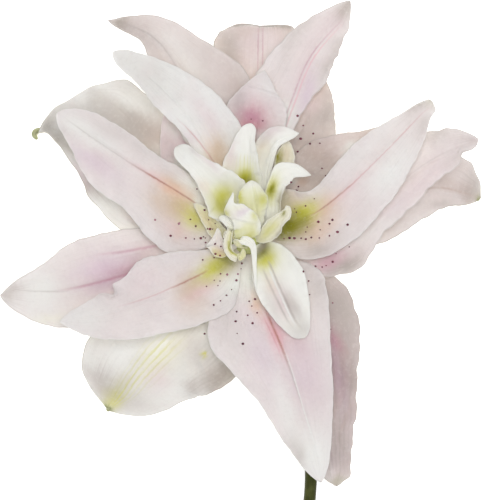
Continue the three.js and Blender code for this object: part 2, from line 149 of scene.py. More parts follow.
MIDDLE_TEPALS = {
    "tepal_middle_upper_left": {
        "root": [112, 36], "midrib": [[-10, 31, 41.5], [-20, 58, 43], [-37, 83, 40], [-58, 92, 32]],
        "left": [2.6, 6, 11, 13.6, 10.2, 4, 1], "right": [2.6, 9, 16, 23, 14, 7, 1],
        "cup": [0.2, 0.03, 0.1], "wave": [0.6, 3],
    },
    "tepal_middle_left": {
        "root": [134, 32.5], "midrib": [[-12, 19, 36], [-20, 38, 38], [-28, 54, 37], [-36, 68, 33]],
        "left": [2.6, 8, 14, 17, 12, 5, 1], "right": [2.6, 5, 9, 12, 10, 6, 1],
        "cup": [0.1, 0, 0], "wave": [0.5, 3],
    },
    "tepal_middle_lower_left": {
        "root": [190, 33.5],
        "midrib": [[-30, -7, 38.5], [-55, -15.5, 38], [-79, -21, 29], [-104, -23, 14]],
        "left": [2.6, 9, 15, 18, 17.5, 13.2, 3.5], "right": [2.6, 9, 16, 19, 18, 10, 2],
        "cup": [0.1, 0.05, 0.1], "wave": [0.8, 3],
    },
    "tepal_middle_right": {
        "root": [350, 33.5], "midrib": [[30, -1, 39], [52, 13, 41], [75, 31, 36], [97, 42, 27]],
        "left": [2.6, 6, 10, 13, 15, 14.8, 13.4, 12.7, 10, 3.8],
        "right": [2.6, 8, 14, 17, 12.4, 10.2, 9.2, 7.6, 5.4, 2],
        "cup": [0.1, 0.03, 0], "wave": [0.6, 3],
    },
    "tepal_middle_upper_right": {
        "root": [38, 36], "midrib": [[20, 18, 40], [33, 31, 42.5], [46, 40, 42], [58, 47, 38]],
        "left": [2.6, 6, 11, 12, 8, 3.5, 1], "right": [2.6, 5, 8, 8, 6, 3, 1],
        "cup": [0.1, 0, 0], "wave": [0.4, 2],
    },
    "tepal_middle_top": {
        "root": [60, 32.5], "midrib": [[14, 26, 36.5], [22, 44, 39], [28, 60, 38.5], [31, 73, 34]],
        "left": [2.6, 6, 10, 13, 12, 7, 1], "right": [2.6, 7, 13, 15.5, 11, 4.5, 1],
        "cup": [0.1, 0, 0], "wave": [0.5, 3],
    },
}
INNER_TEPALS = {
    "tepal_inner_left": {
        "root": [163, 40.5], "midrib": [[-22, 15, 46.4], [-42, 28, 51], [-62, 41, 48], [-79, 53, 40]],
        "left": [2.2, 21, 22.5, 17.5, 16.5, 9, 3], "right": [2.2, 5, 9, 8.5, 10, 9, 3.5],
        "cup": [0.1, 0.05, 0], "wave": [0.4, 3],
    },
    "tepal_inner_upper_left": {
        "root": [127, 43], "midrib": [[-12, 27, 50], [-22, 47, 54], [-37, 64, 53], [-55.5, 78, 47]],
        "left": [2.2, 4, 5, 5.5, 7, 5, 1.5], "right": [2.2, 12, 17, 16, 13, 8, 1.5],
        "cup": [0.1, 0, 0], "wave": [0.4, 3],
    },
    "tepal_inner_top": {
        "root": [95, 40.5], "midrib": [[2, 26, 46], [3.5, 42, 49.5], [5, 56, 50.3], [7.2, 70.4, 48.2]],
        "left": [2.2, 4, 6, 9, 12, 13.5, 12.5, 7, 0.8], "right": [2.2, 4, 6, 9, 11, 12, 11, 5.6, 0.8],
        "cup": [0.15, 0.05, 0], "wave": [0.3, 2],
    },
    "tepal_inner_upper_right": {
        "root": [64, 38], "midrib": [[12, 34, 44], [18, 56, 46], [26, 78, 45], [43, 99.4, 39]],
        "left": [2.2, 5, 10, 17.5, 15, 9, 1], "right": [2.2, 3, 3.5, 6, 11.5, 9.5, 1.5],
        "cup": [0.1, 0, 0], "wave": [0.5, 3],
    },
    "tepal_inner_right": {
        "root": [14, 40], "midrib": [[27, 9.5, 46], [44, 25, 50], [60, 41, 46], [77, 59, 38]],
        "left": [2.2, 15, 9, 9.8, 9.8, 6, 1.2], "right": [2.2, 15, 18, 17.5, 15, 10, 2],
        "cup": [0.15, 0.08, 0], "wave": [0.4, 3],
    },
    "tepal_inner_bottom": {
        "root": [278, 38.5], "midrib": [[7, -25, 44], [16, -48, 46], [23, -74, 38], [31, -102, 22]],
        "left": [2.2, 24, 25.5, 19.5, 15.5, 10.5, 2.5], "right": [2.2, 18, 27.5, 23, 15.5, 9.5, 2.5],
        "cup": [0.1, 0.05, 0], "wave": [0.5, 3],
    },
    "tepal_inner_lower_left": {
        "root": [232, 40.5],
        "midrib": [[-21, -15.5, 46.5], [-38, -24.5, 49], [-58, -31, 46], [-78, -34, 38]],
        "left": [2.2, 18, 18, 15, 12.5, 8.5, 1.5], "right": [2.2, 9, 15, 17, 11, 7, 1.5],
        "cup": [0.1, 0.05, 0], "wave": [0.4, 3],
    },
}
PETALOIDS = {
    "petaloid_top": {
        "root": [95, 45], "midrib": [[-1, 16, 48], [-1.5, 27, 52.5], [-0.6, 38, 56.5], [1.6, 48, 58.5]],
        "left": [1, 2.4, 4.2, 6.8, 9.2, 8.4, 6, 4.4, 1.8],
        "right": [1, 3, 5, 6.7, 6.9, 6.1, 4.6, 3, 1.6],
        "cup": [0.5, 0.3, 0.2], "wave": [0.2, 2],
    },
    "petaloid_top_right": {
        "root": [58, 43], "midrib": [[6.8, 18, 49], [8.4, 31, 54], [12, 40.2, 57.5], [21.4, 44, 56]],
        "left": [1, 2, 3, 5, 6.6, 7.2, 6.6, 4.6, 0.8],
        "right": [1, 1.8, 2, 2.2, 2.4, 2.3, 2.2, 1.8, 0.6],
        "cup": [0.3, 0.2, 0], "roll": [-5, -15, -10], "wave": [0.2, 2],
    },
    "petaloid_back_right": {
        "root": [34, 41.5],
        "midrib": [[10.6, 16.5, 47.4], [14, 28, 51.4], [15.8, 34.6, 52.4], [17.2, 41, 51.4]],
        "left": [0.9, 1.4, 3, 3.6, 1.4], "right": [0.9, 2.4, 4, 3.9, 0.9],
        "cup": [0.4, 0.4, 0.2], "wave": [0.2, 2],
    },
    "petaloid_right": {
        "root": [30, 45.3],
        "midrib": [
            [9.8, 8, 50], [10.6, 17, 55.5], [12.3, 24.6, 59.5],
            [18.2, 28.8, 60], [26.4, 26.6, 57.5],
        ],
        "left": [1, 2, 2.6, 3, 3.4, 3.2, 3.2, 4.6, 3, 1.8, 0.5],
        "right": [1, 2, 2.8, 3.2, 3.4, 3.8, 4.4, 4.8, 3.8, 2.4, 0.5],
        "cup": [0.4, 0.3, 0.1], "wave": [0.2, 2],
    },
    "petaloid_left": {
        "root": [140, 44],
        "midrib": [
            [-4.8, 10.4, 49.2], [-9.6, 17.5, 53.2], [-16.3, 25, 56.6],
            [-23.8, 33.3, 57.4], [-29.4, 38.4, 55.2],
        ],
        "left": [1, 3, 5.5, 8, 9.4, 7.2, 4.8, 4, 3.9, 3.6, 2.4],
        "right": [1, 3, 6, 8.8, 10.2, 9.8, 8.2, 5.6, 4.4, 3.8, 2.4],
        "cup": [0.5, 0.4, 0.1], "wave": [0.3, 2],
    },
    "petaloid_bottom": {
        "root": [300, 44.5], "midrib": [[7, -8, 49], [12, -19, 52], [17, -30, 52.5], [22.5, -41, 50]],
        "left": [1, 5, 9.5, 12, 12.4, 11.4, 9.6, 7, 2.8], "right": [1, 2.5, 5, 7.5, 8.5, 8, 6.6, 4.6, 2],
        "cup": [0.3, 0.2, 0.1], "wave": [0.3, 2],
    },
    "petaloid_bottom_strip": {
        "root": [270, 46.8],
        "midrib": [
            [1.2, -2.8, 53], [1.3, -0.4, 56.8], [2.6, -3.8, 58.2],
            [2.9, -12, 56.6], [2.8, -21, 54.2],
        ],
        "left": [0.6, 0.8, 1.2, 1.7, 1.8, 1.4, 1, 0.7, 0.4],
        "right": [0.6, 0.9, 1.5, 1.8, 1.8, 1.3, 1, 0.7, 0.4],
        "cup": [0.3, 0.3, 0.2], "wave": [0.1, 2],
    },
    "petaloid_crumpled": {
        "root": [215, 48.5],
        "midrib": [
            [-2.3, -2.3, 54], [-2, -0.9, 57.4], [-3.8, 0.1, 58.2], [-5.7, -1.7, 57.6],
            [-6.7, -4.2, 56.2], [-5, -6.6, 54.6], [-2.6, -6.6, 54],
        ],
        "left": [0.5, 0.8, 1.3, 1.5, 1.6, 1.6, 1.4, 0.6],
        "right": [0.5, 0.8, 1.3, 1.5, 1.6, 1.6, 1.4, 0.6],
        "cup": [0.4, 0.5, 0.3], "wave": [0.3, 2],
    },
    "petaloid_bud": {
        "root": [75, 47.5], "midrib": [[3.2, 7, 53.5], [3.4, 12, 58], [2.6, 18, 60.5], [1.6, 24.4, 61]],
        "left": [0.8, 3.5, 5, 6, 6.4, 5.6, 1.6], "right": [0.8, 3, 4, 5, 5.8, 4.2, 1.6],
        "cup": [-0.3, -0.4, -0.3],
    },
    "petaloid_hood": {
        "root": [110, 49.1], "midrib": [[1.2, 1, 54.5], [0, 6, 60.5], [-3, 11, 63.5], [-5.8, 19.6, 64]],
        "left": [0.8, 2, 3.2, 4, 4.4, 4.6, 4.6, 4.5, 4.4, 4.6, 6, 3.2, 0.4],
        "right": [0.8, 2.4, 3.6, 4.4, 5, 5.6, 5.8, 5.4, 5, 4.4, 2.8, 0.6, 0.3],
        "cup": [-0.2, -0.3, -0.3],
    },
    "petaloid_small_left": {
        "root": [160, 45.5],
        "midrib": [
            [-8.1, -0.6, 52], [-8.2, 2.9, 54.5], [-6.8, 5.4, 56],
            [-8.8, 8, 56], [-11.6, 9.4, 54.5],
        ],
        "left": [0.7, 1.2, 1.3, 1.4, 1.6, 1.6, 0.8], "right": [0.7, 1.2, 1.3, 1.4, 1.8, 1.8, 0.8],
        "cup": [0.3, 0.2, 0.1],
    },
    "petaloid_small_right": {
        "root": [2, 46.3],
        "midrib": [
            [6.3, 1.3, 49.7], [10, 4.6, 52.2], [13.8, 8.3, 53.9],
            [16.5, 12.1, 54.3], [16.4, 14.2, 53.8],
        ],
        "left": [0.8, 2, 3, 3.5, 2.2, 1.2, 0.8], "right": [0.8, 2.4, 3.8, 4, 3.2, 1.6, 0.8],
        "cup": [0.4, 0.4, 0.2], "wave": [0.1, 2],
    },
    "petaloid_far_left": {
        "root": [182, 44], "midrib": [[-11, 3.5, 47], [-15, 8, 49], [-19, 12.5, 49.5], [-22, 15, 48.5]],
        "left": [0.8, 3, 4.2, 3.6, 2.6, 1.6, 0.7], "right": [0.8, 2.2, 2.6, 2, 0.7],
        "cup": [0.3, 0.2, 0],
    },
    "petaloid_tooth": {
        "root": [208, 45.5],
        "midrib": [[-9.8, -4, 48.5], [-11.2, -0.8, 50], [-11.9, 2.4, 51], [-12.1, 4.9, 51]],
        "left": [0.7, 2, 4.5, 6, 2.6, 1.2, 0.5], "right": [0.7, 1.2, 1.4, 1.4, 1.3, 1.1, 0.5],
        "cup": [0.2, 0.2, 0],
    },
}

# The whorls from the back of the bloom to its heart: sheets, material slot, make and first seed
WHORLS = [
    (OUTER_TEPALS, "outer_tepal", TEPAL, 1),
    (MIDDLE_TEPALS, "middle_tepal", TEPAL, 11),
    (INNER_TEPALS, "inner_tepal", TEPAL, 21),
    (PETALOIDS, "petaloid", PETALOID, 31),
]

# Raised maroon spots: their places seen face on, their size and how unevenly it varies, how deep
# their feet lie in the petal, the height in metres that they are dropped from, the fineness of each
# dome and the first seed
SPOTS = [
    (-31.7, 1.7), (-28.3, 6.7), (-27.9, 7.1), (-25.4, 0.8), (-21.9, 0.4), (-19.2, 0.7), (-17.3, 0.8),
    (-17.2, -1.1), (-13.2, -1.7), (-10.8, -2.7), (-20.8, 21.1), (-17.6, 12.3), (-23.5, 8.5),
    (-21.3, 5.7), (-13.2, 6.8), (-16.4, 4.6), (-15.4, 4.5), (-14.3, 4.5), (-38.1, 8.3), (-15.9, 8.3),
    (-18.1, 1.3), (-9.6, 0.4), (-13.1, -5.8), (-13.7, -7.4), (-11.2, -6.5), (-18.4, -8.3), (-2.3, -9.8),
    (-2.6, -12), (-3.8, -14.2), (-4.4, -16.8), (-6.4, -20.6), (-8.5, -23), (-11, -25.3), (-13.8, -27),
    (-11, -14.1), (-8.2, -14.4), (-13.6, -16.8), (-11.2, -17.1), (-12.1, -19), (-16.8, -19.3),
    (-4.7, -33.8), (-4.3, -29.8), (-4.1, -38.8), (-1.7, -43.1), (2.3, -34.6), (4.2, -30.3), (0.3, -31.3),
    (2, -27.5), (0.9, -25.5), (3.3, -24.6), (23.3, -13.1), (25.6, -17.1), (26, -22.7), (-17.7, -39.2),
    (35.8, -26.3), (34.9, -37.4), (28.5, -11), (31.3, -11.3), (33, -10.7), (35.7, -9.1), (37.1, -5.7),
    (42.6, -2.9), (15.4, 0.5), (17.7, 0.8), (19.7, 0.7), (22.5, 0.7), (24.4, 0.3), (26.7, 1), (30, 0.8),
    (34.2, 1.7), (37.5, 3.3), (41.7, 6.3), (25, 5.3), (24.4, 3.3), (30.4, 4.2), (34.2, 6.7), (35.4, 8.3),
    (29.6, 7.5), (27.9, 17.1), (24.3, 14.1), (19.8, 12.9), (20.5, 11.5), (23.5, 47.7), (27.6, 44.3),
    (22.4, 42.2), (26.2, 40), (30.3, 40.2), (21.1, 36.7), (31.2, 29.8), (32.7, 26.7), (18.1, 23.7),
    (21.4, 22.2), (20.6, 20.5), (21, 51.5), (1.7, 50), (6.5, 49.3),
]
SPOT_RADIUS = 0.44
SPOT_HEIGHT = 0.25
SPOT_SPREAD = (0.6, 1.25)
SPOT_STRETCH = (0.85, 1.3)
SPOT_RISE = (0.7, 1.2)
SPOT_FOOT = 0.1
SPOT_DROP = 0.2
SPOT_SIDES = 12
SPOT_RINGS = 4
SPOT_SEED = 50

# Small swollen green knobs at the tips of tepals: the radius and the places they run through
KNOBS = {
    "tepal_outer_left": (1.4, [(-86.6, 47.4, 3), (-89.4, 46.6, 2), (-90.4, 44.9, 1.5), (-89.2, 42.9, 1.5)]),
    "tepal_outer_lower_left": (1.1, [(-57.8, -70.4, 3), (-58.8, -71.8, 1.6), (-59.4, -72.8, 1.3)]),
}
KNOB_RINGS = 12
KNOB_SIDES = 16
KNOB_LOBES = 3
KNOB_LOBE_SHARE = 0.08
KNOB_STREAK_LENGTH = 40

# Tips that are blunter than those of the solid model, with their half widths
BLUNT_TIPS = {
    "tepal_inner_upper_right": 2.4, "tepal_inner_upper_left": 3, "petaloid_bottom": 3.4,
    "petaloid_top": 2.6,
}

# Ribbons in the heart of the bloom that run on from one another
RIBBON_ROUTES = {
    "petaloid_bottom_strip": [
        (-2.5, -3, 53.5), (-4, -0.8, 56.5), (-1, -0.3, 57.6), (1.8, -1.8, 58), (2.8, -5, 57.6),
        (3.2, -12, 56.4), (3.8, -21, 54.2),
    ],
    "petaloid_crumpled": [
        (-5, 0.5, 53.5), (-6.6, 3.6, 56), (-7.8, 0.8, 57), (-8, -3, 56.6), (-6.6, -6, 55.6),
        (-4.2, -7.2, 54.8), (-1.9, -6.4, 54.8), (-1.6, -3.6, 55.4),
    ],
}

# Ragged margins: how far the margin wanders in and out, in full from this share of the length and
# this half width on
RAGGED = 0.28
SETTLED_SHARE = 1 / 8
SETTLED_WIDTH = 6
RAGGED_MARGINS = {
    "tepal_inner_upper_right": 0.5, "tepal_middle_right": 0.6, "tepal_outer_bottom": 0.55,
    "tepal_outer_top": 0.45, "petaloid_top": 0.15, "petaloid_bottom": 0.12, "petaloid_top_right": 0.15,
    "petaloid_right": 0.15,
}

# Folds seen face on: from x, y to x, y, height (a groove when negative) and half width
FOLDS = {
    "tepal_outer_top": [
        (4.8, 88, 5.6, 72, -0.3, 0.6), (-6, 89, 20, 89, 0.7, 1.2), (-8, 84, 2, 74, 0.5, 2),
    ],
    "tepal_outer_left": [
        (-62, 60, -38, 56, 0.9, 3), (-50, 52, -34, 42, -1.2, 5), (-76, 40, -62, 20, 0.8, 1.4),
        (-66, 20, -50, 4, 0.9, 2), (-50, 8, -42, 1, 0.8, 1.4),
    ],
    "tepal_outer_lower_left": [
        (-57, -68, -42, -44, -0.5, 1.4), (-52, -64, -36, -42, 0.35, 1.2), (-20, -50, -16, -58, 0.5, 1.2),
        (-14, -44, -12, -55, -0.5, 1.4), (-24, -45, -26, -56, 0.4, 1.6),
        (-18.3, -47.5, -17.6, -48.4, 0.9, 1), (-33, -50, -30, -60, 0.4, 2.5),
    ],
    "tepal_outer_bottom": [
        (36, -40, 41, -58, -1, 1.2), (40, -38, 45, -52, 1, 1.4), (42, -60, 36, -76, 0.9, 1.6),
        (44, -66, 38, -84, -0.8, 1), (37, -80, 42, -92, -0.8, 1.2), (34, -90, 36, -100, 0.8, 1),
        (40, -66, 43, -74, 0.7, 1),
    ],
    "tepal_outer_right": [
        (59, 5, 76, 21, 0.8, 1.6), (76, 22, 96, 18, 0.6, 1.1), (76, 25, 90, 20, -0.5, 1.2),
    ],
    "tepal_middle_upper_left": [(-52, 91, -30, 70, -0.5, 1.6), (-30, 70, -12, 50, 0.3, 3)],
    "tepal_middle_lower_left": [
        (-74, -20, -50, -15, -0.5, 1), (-58, -5, -40, -1, -0.6, 1.2), (-60, -8, -42, -4.5, 0.5, 1.2),
        (-98, -17, -84, -16, 0.5, 1.2),
    ],
    "tepal_middle_right": [
        (64, 12, 78, 28, -0.5, 1.4), (62, 18, 84, 36, 0.4, 1.6), (52, 4, 62, 14, 0.4, 1.4),
        (84, 36, 92, 40, -0.4, 1),
    ],
    "tepal_inner_left": [(-70, 47, -48, 31, -0.3, 1), (-40, 8, -30, -4, 0.4, 2.5)],
    "tepal_inner_upper_left": [(-27.5, 49, -15, 33.5, -0.35, 0.8)],
    "tepal_inner_top": [(0, 65, 15, 59.6, -0.5, 0.7), (0, 63.6, 15, 58.4, 0.35, 0.8)],
    "tepal_inner_upper_right": [(34, 66, 28, 48, 0.4, 1.4), (39, 84, 34, 74, -0.35, 1)],
    "tepal_inner_bottom": [
        (22, -58, 31, -94, 0.35, 0.8), (10, -32, 22, -58, -0.4, 0.8), (12, -34, 24, -60, 0.3, 1.4),
    ],
    "tepal_inner_lower_left": [(-54, -18, -47, -12, 0.7, 1.2), (-57, -24, -52, -22, -0.6, 1)],
    "petaloid_bottom": [
        (8.5, -13, 17, -33, -0.55, 0.9), (12.5, -12, 20.5, -35, 0.4, 1.1),
        (13.5, -18, 20, -36, -0.35, 0.7),
    ],
    "petaloid_top": [(1.5, 33, 0.4, 44, -0.4, 0.9)],
    "petaloid_top_right": [(8.5, 32, 13, 42, 0.5, 0.8)],
    "petaloid_right": [(9.5, 14, 10.5, 24, -0.5, 0.8)],
    "petaloid_left": [(-10, 14, -27, 36, -0.5, 1.8)],
    "petaloid_bud": [(2.5, 23, 3.6, 16, -0.8, 0.45), (3.6, 16, 4.2, 9, -0.8, 0.5)],
    "petaloid_hood": [(-8, 10, 3, 7.5, 0.8, 0.8), (-8, 8.5, 2.5, 6, -0.6, 0.8)],
}

# Nudges seen face on: at x, y, moved by dx, dy, dz, and the reach round that place
TUGS = {
    "tepal_outer_left": [
        (-66, 17, -1.8, -0.6, 0, 4), (-41, 58, 1.2, 1.2, 0, 5), (-46, 68, 0.6, -1.6, 0, 6),
        (-68, 62, -0.4, 1.2, 0, 7), (-85, 52, 1.2, 0, 0, 4),
    ],
    "petaloid_bottom": [(21.5, -40, 1.4, 0.4, 0, 4)],
    "petaloid_hood": [(-4, 16.5, -1.2, -1.4, 0, 1.8), (-3.5, 2.5, -1.6, -1.6, 0, 3)],
    "petaloid_small_right": [(16.6, 5.1, -1.4, 0.6, 0, 3)],
    "tepal_middle_top": [(34, 60.5, 1, 0, 0, 5)],
    "tepal_inner_right": [(77.2, 54.5, 1.8, -0.4, 0, 2.4), (77, 59.2, -0.4, -0.8, 0, 1)],
    "tepal_inner_lower_left": [
        (-57, -21, 1.5, -2.4, -0.8, 2.2), (-53.5, -19, -1.8, 0.4, 1.6, 1.8),
        (-61, -24.5, 0, 0.9, 0.6, 2),
    ],
    "tepal_middle_right": [
        (91.5, 36, -2.4, 2, 0, 2.4), (95, 40, 1, 0.4, 0, 1.4), (83, 50, 0, 1.2, 0, 3),
    ],
    "tepal_outer_right": [(94, 31, 1, 1.2, 1, 3), (96, 24, 1.2, 0, 0.6, 3)],
    "tepal_outer_bottom": [(42, -99, 1.4, -1, 0, 2.4), (44, -60, 0.5, 0, 0.8, 3)],
    "tepal_inner_upper_right": [
        (38, 76, 0.8, 0, 0.6, 2), (35, 70, -0.7, 0, -0.4, 2), (41, 88, 0.6, 0, 0.5, 2),
    ],
}

# Colours in sRGB from 0 to 255
COLOURS = {
    "petal": (229, 220, 219), "pearl": (228, 226, 222), "ashen": (216, 206, 204),
    "dusky": (192, 179, 179), "rosy": (226, 207, 210), "warm": (214, 201, 196),
    "brownish": (190, 171, 162), "cream": (234, 230, 212), "white": (238, 237, 234),
    "ivory": (247, 247, 240), "lilac": (214, 193, 209), "pink": (230, 178, 188), "rose": (200, 132, 138),
    "rust": (176, 118, 104), "magenta": (188, 126, 150), "violet": (176, 138, 162),
    "peach": (230, 194, 170), "tan": (204, 174, 140), "yellow_green": (204, 202, 66),
    "olive": (134, 132, 4), "tip_green": (118, 128, 52), "grey": (176, 168, 164),
    "shade": (138, 130, 118), "spot": (84, 26, 48), "spot_light": (128, 52, 74),
    "spot_faded": (182, 132, 146), "stem_skin_dark": (50, 54, 14), "stem_skin_light": (74, 78, 26),
    "stem_skin_pale": (98, 102, 50), "receptacle_skin_dark": (196, 204, 124),
    "receptacle_skin_light": (214, 220, 152), "receptacle_skin_pale": (230, 232, 188),
    "tip_green_dark": (150, 156, 104), "tip_green_light": (210, 210, 176),
    "tip_green_pale": (236, 236, 222), "pith": (196, 206, 150), "bark": (110, 128, 62),
    "table": (246, 246, 246), "table_light": (250, 250, 250),
}

# Body colour of each sheet, then the colour and the strength of its rim; a grey or shade rim is painted
# shade where the margin turns away
SKINS = {
    "tepal_outer_top": ("warm", "shade", 0.5), "tepal_outer_left": ("pearl", "shade", 0.35),
    "tepal_outer_lower_left": ("pearl", "shade", 0.45), "tepal_outer_bottom": ("dusky", "shade", 0.35),
    "tepal_outer_right": ("ashen", "shade", 0.5), "tepal_middle_upper_left": ("ashen", "grey", 0.4),
    "tepal_middle_left": ("rosy", "white", 0.3), "tepal_middle_lower_left": ("petal", "grey", 0.5),
    "tepal_middle_right": ("petal", "grey", 0.4), "tepal_middle_upper_right": ("warm", "grey", 0.4),
    "tepal_middle_top": ("warm", "shade", 0.4), "tepal_inner_left": ("petal", "white", 0.3),
    "tepal_inner_upper_left": ("white", "white", 0.3), "tepal_inner_top": ("petal", "white", 0.3),
    "tepal_inner_upper_right": ("petal", "grey", 0.4), "tepal_inner_right": ("petal", "white", 0.3),
    "tepal_inner_bottom": ("petal", "white", 0.3), "tepal_inner_lower_left": ("petal", "white", 0.3),
    "petaloid_top": ("ivory", "white", 0.3), "petaloid_top_right": ("ivory", "white", 0.3),
    "petaloid_back_right": ("cream", "white", 0.3), "petaloid_right": ("ivory", "white", 0.3),
    "petaloid_left": ("ivory", "white", 0.3), "petaloid_bottom": ("ivory", "white", 0.3),
    "petaloid_bottom_strip": ("ivory", "white", 0.3), "petaloid_crumpled": ("cream", "white", 0.3),
    "petaloid_bud": ("ivory", "white", 0.3), "petaloid_hood": ("ivory", "white", 0.3),
    "petaloid_small_left": ("ivory", "white", 0.3), "petaloid_small_right": ("cream", "white", 0.3),
    "petaloid_far_left": ("cream", "white", 0.3), "petaloid_tooth": ("ivory", "white", 0.3),
}

# Fine lines: colour, strength, where it starts and ends along the sheet, half width, and how far it
# lies to the left of the midrib at its start and at its end
LINES = {
    "tepal_outer_top": [
        ("magenta", 0.4, 0.5, 0.76, 0.28, 0.2, 0.6), ("magenta", 0.4, 0.48, 0.78, 0.28, -1.9, -1.2),
    ],
    "tepal_outer_bottom": [("violet", 0.3, 0.2, 0.9, 0.4, 0, 0)],
    "tepal_outer_right": [("brownish", 0.7, 0.5, 0.97, 0.5, 1, 1)],
    "tepal_middle_upper_left": [("grey", 0.4, 0.55, 0.97, 0.35, 1.5, -1)],
    "tepal_middle_lower_left": [
        ("magenta", 0.52, 0.4, 0.74, 0.6, 0.3, 0.3), ("magenta", 0.5, 0.3, 0.54, 0.6, -6.6, -11),
        ("grey", 0.3, 0.72, 0.97, 0.35, 1, -2),
    ],
    "tepal_middle_right": [("grey", 0.25, 0.3, 0.9, 0.4, 1, 1)],
    "tepal_inner_left": [
        ("rust", 0.85, 0.24, 0.56, 0.38, -0.6, 0.2), ("grey", 0.35, 0.5, 0.95, 0.28, 0.3, 0),
    ],
    "tepal_inner_upper_left": [("rose", 0.5, 0.3, 0.56, 0.28, -0.6, 3.6)],
    "tepal_inner_upper_right": [
        ("magenta", 0.45, 0.4, 0.92, 0.36, 0.8, -2.4), ("pink", 0.6, 0.4, 0.9, 0.36, -0.8, -3.6),
    ],
    "tepal_inner_right": [
        ("rust", 0.7, 0.26, 0.5, 0.34, 0.8, -1.2), ("rose", 0.42, 0.44, 0.95, 0.28, -1, -1.4),
    ],
    "tepal_inner_bottom": [
        ("rust", 0.9, 0.31, 0.54, 0.55, -0.8, -0.2), ("rose", 0.45, 0.33, 0.5, 0.35, -2.6, -1.8),
        ("grey", 0.45, 0.5, 0.72, 0.36, -0.3, 1.2), ("white", 0.8, 0.5, 0.97, 0.28, 0.5, 2.6),
    ],
    "tepal_inner_lower_left": [
        ("rust", 0.85, 0.2, 0.42, 0.4, 0, -1.4), ("rose", 0.35, 0.4, 0.66, 0.34, -1.4, -2),
    ],
    # On the bottom petaloid, the grey lines are painted shade in its two grooves and the white line a
    # painted highlight on the ridge between them
    "petaloid_bottom": [
        ("grey", 0.6, 0.3, 0.9, 0.5, 1.2, 1.2), ("white", 0.8, 0.35, 0.9, 0.4, 0.2, 0.2),
        ("grey", 0.5, 0.35, 0.85, 0.5, -2.4, -1.6),
    ],
}

# Bundles of fine lines: colour, strength, middle and spread across (1 left margin, -1 right), number
# of lines from midrib to margin, and where they start and end
FANS = {
    # On the outer lower left tepal, the shade-coloured bundle is painted shade in the creases of its fine
    # wrinkles
    "tepal_outer_lower_left": [
        ("yellow_green", 0.5, 0.14, 0.17, 12, 0.5, 0.99), ("shade", 0.15, 0.85, 0.2, 19, 0.35, 0.75),
    ],
    "tepal_outer_bottom": [("shade", 0.2, 0.3, 0.7, 5, 0.4, 0.98)],
    "petaloid_top": [("yellow_green", 0.3, -0.15, 0.5, 5, 0.3, 0.68)],
}
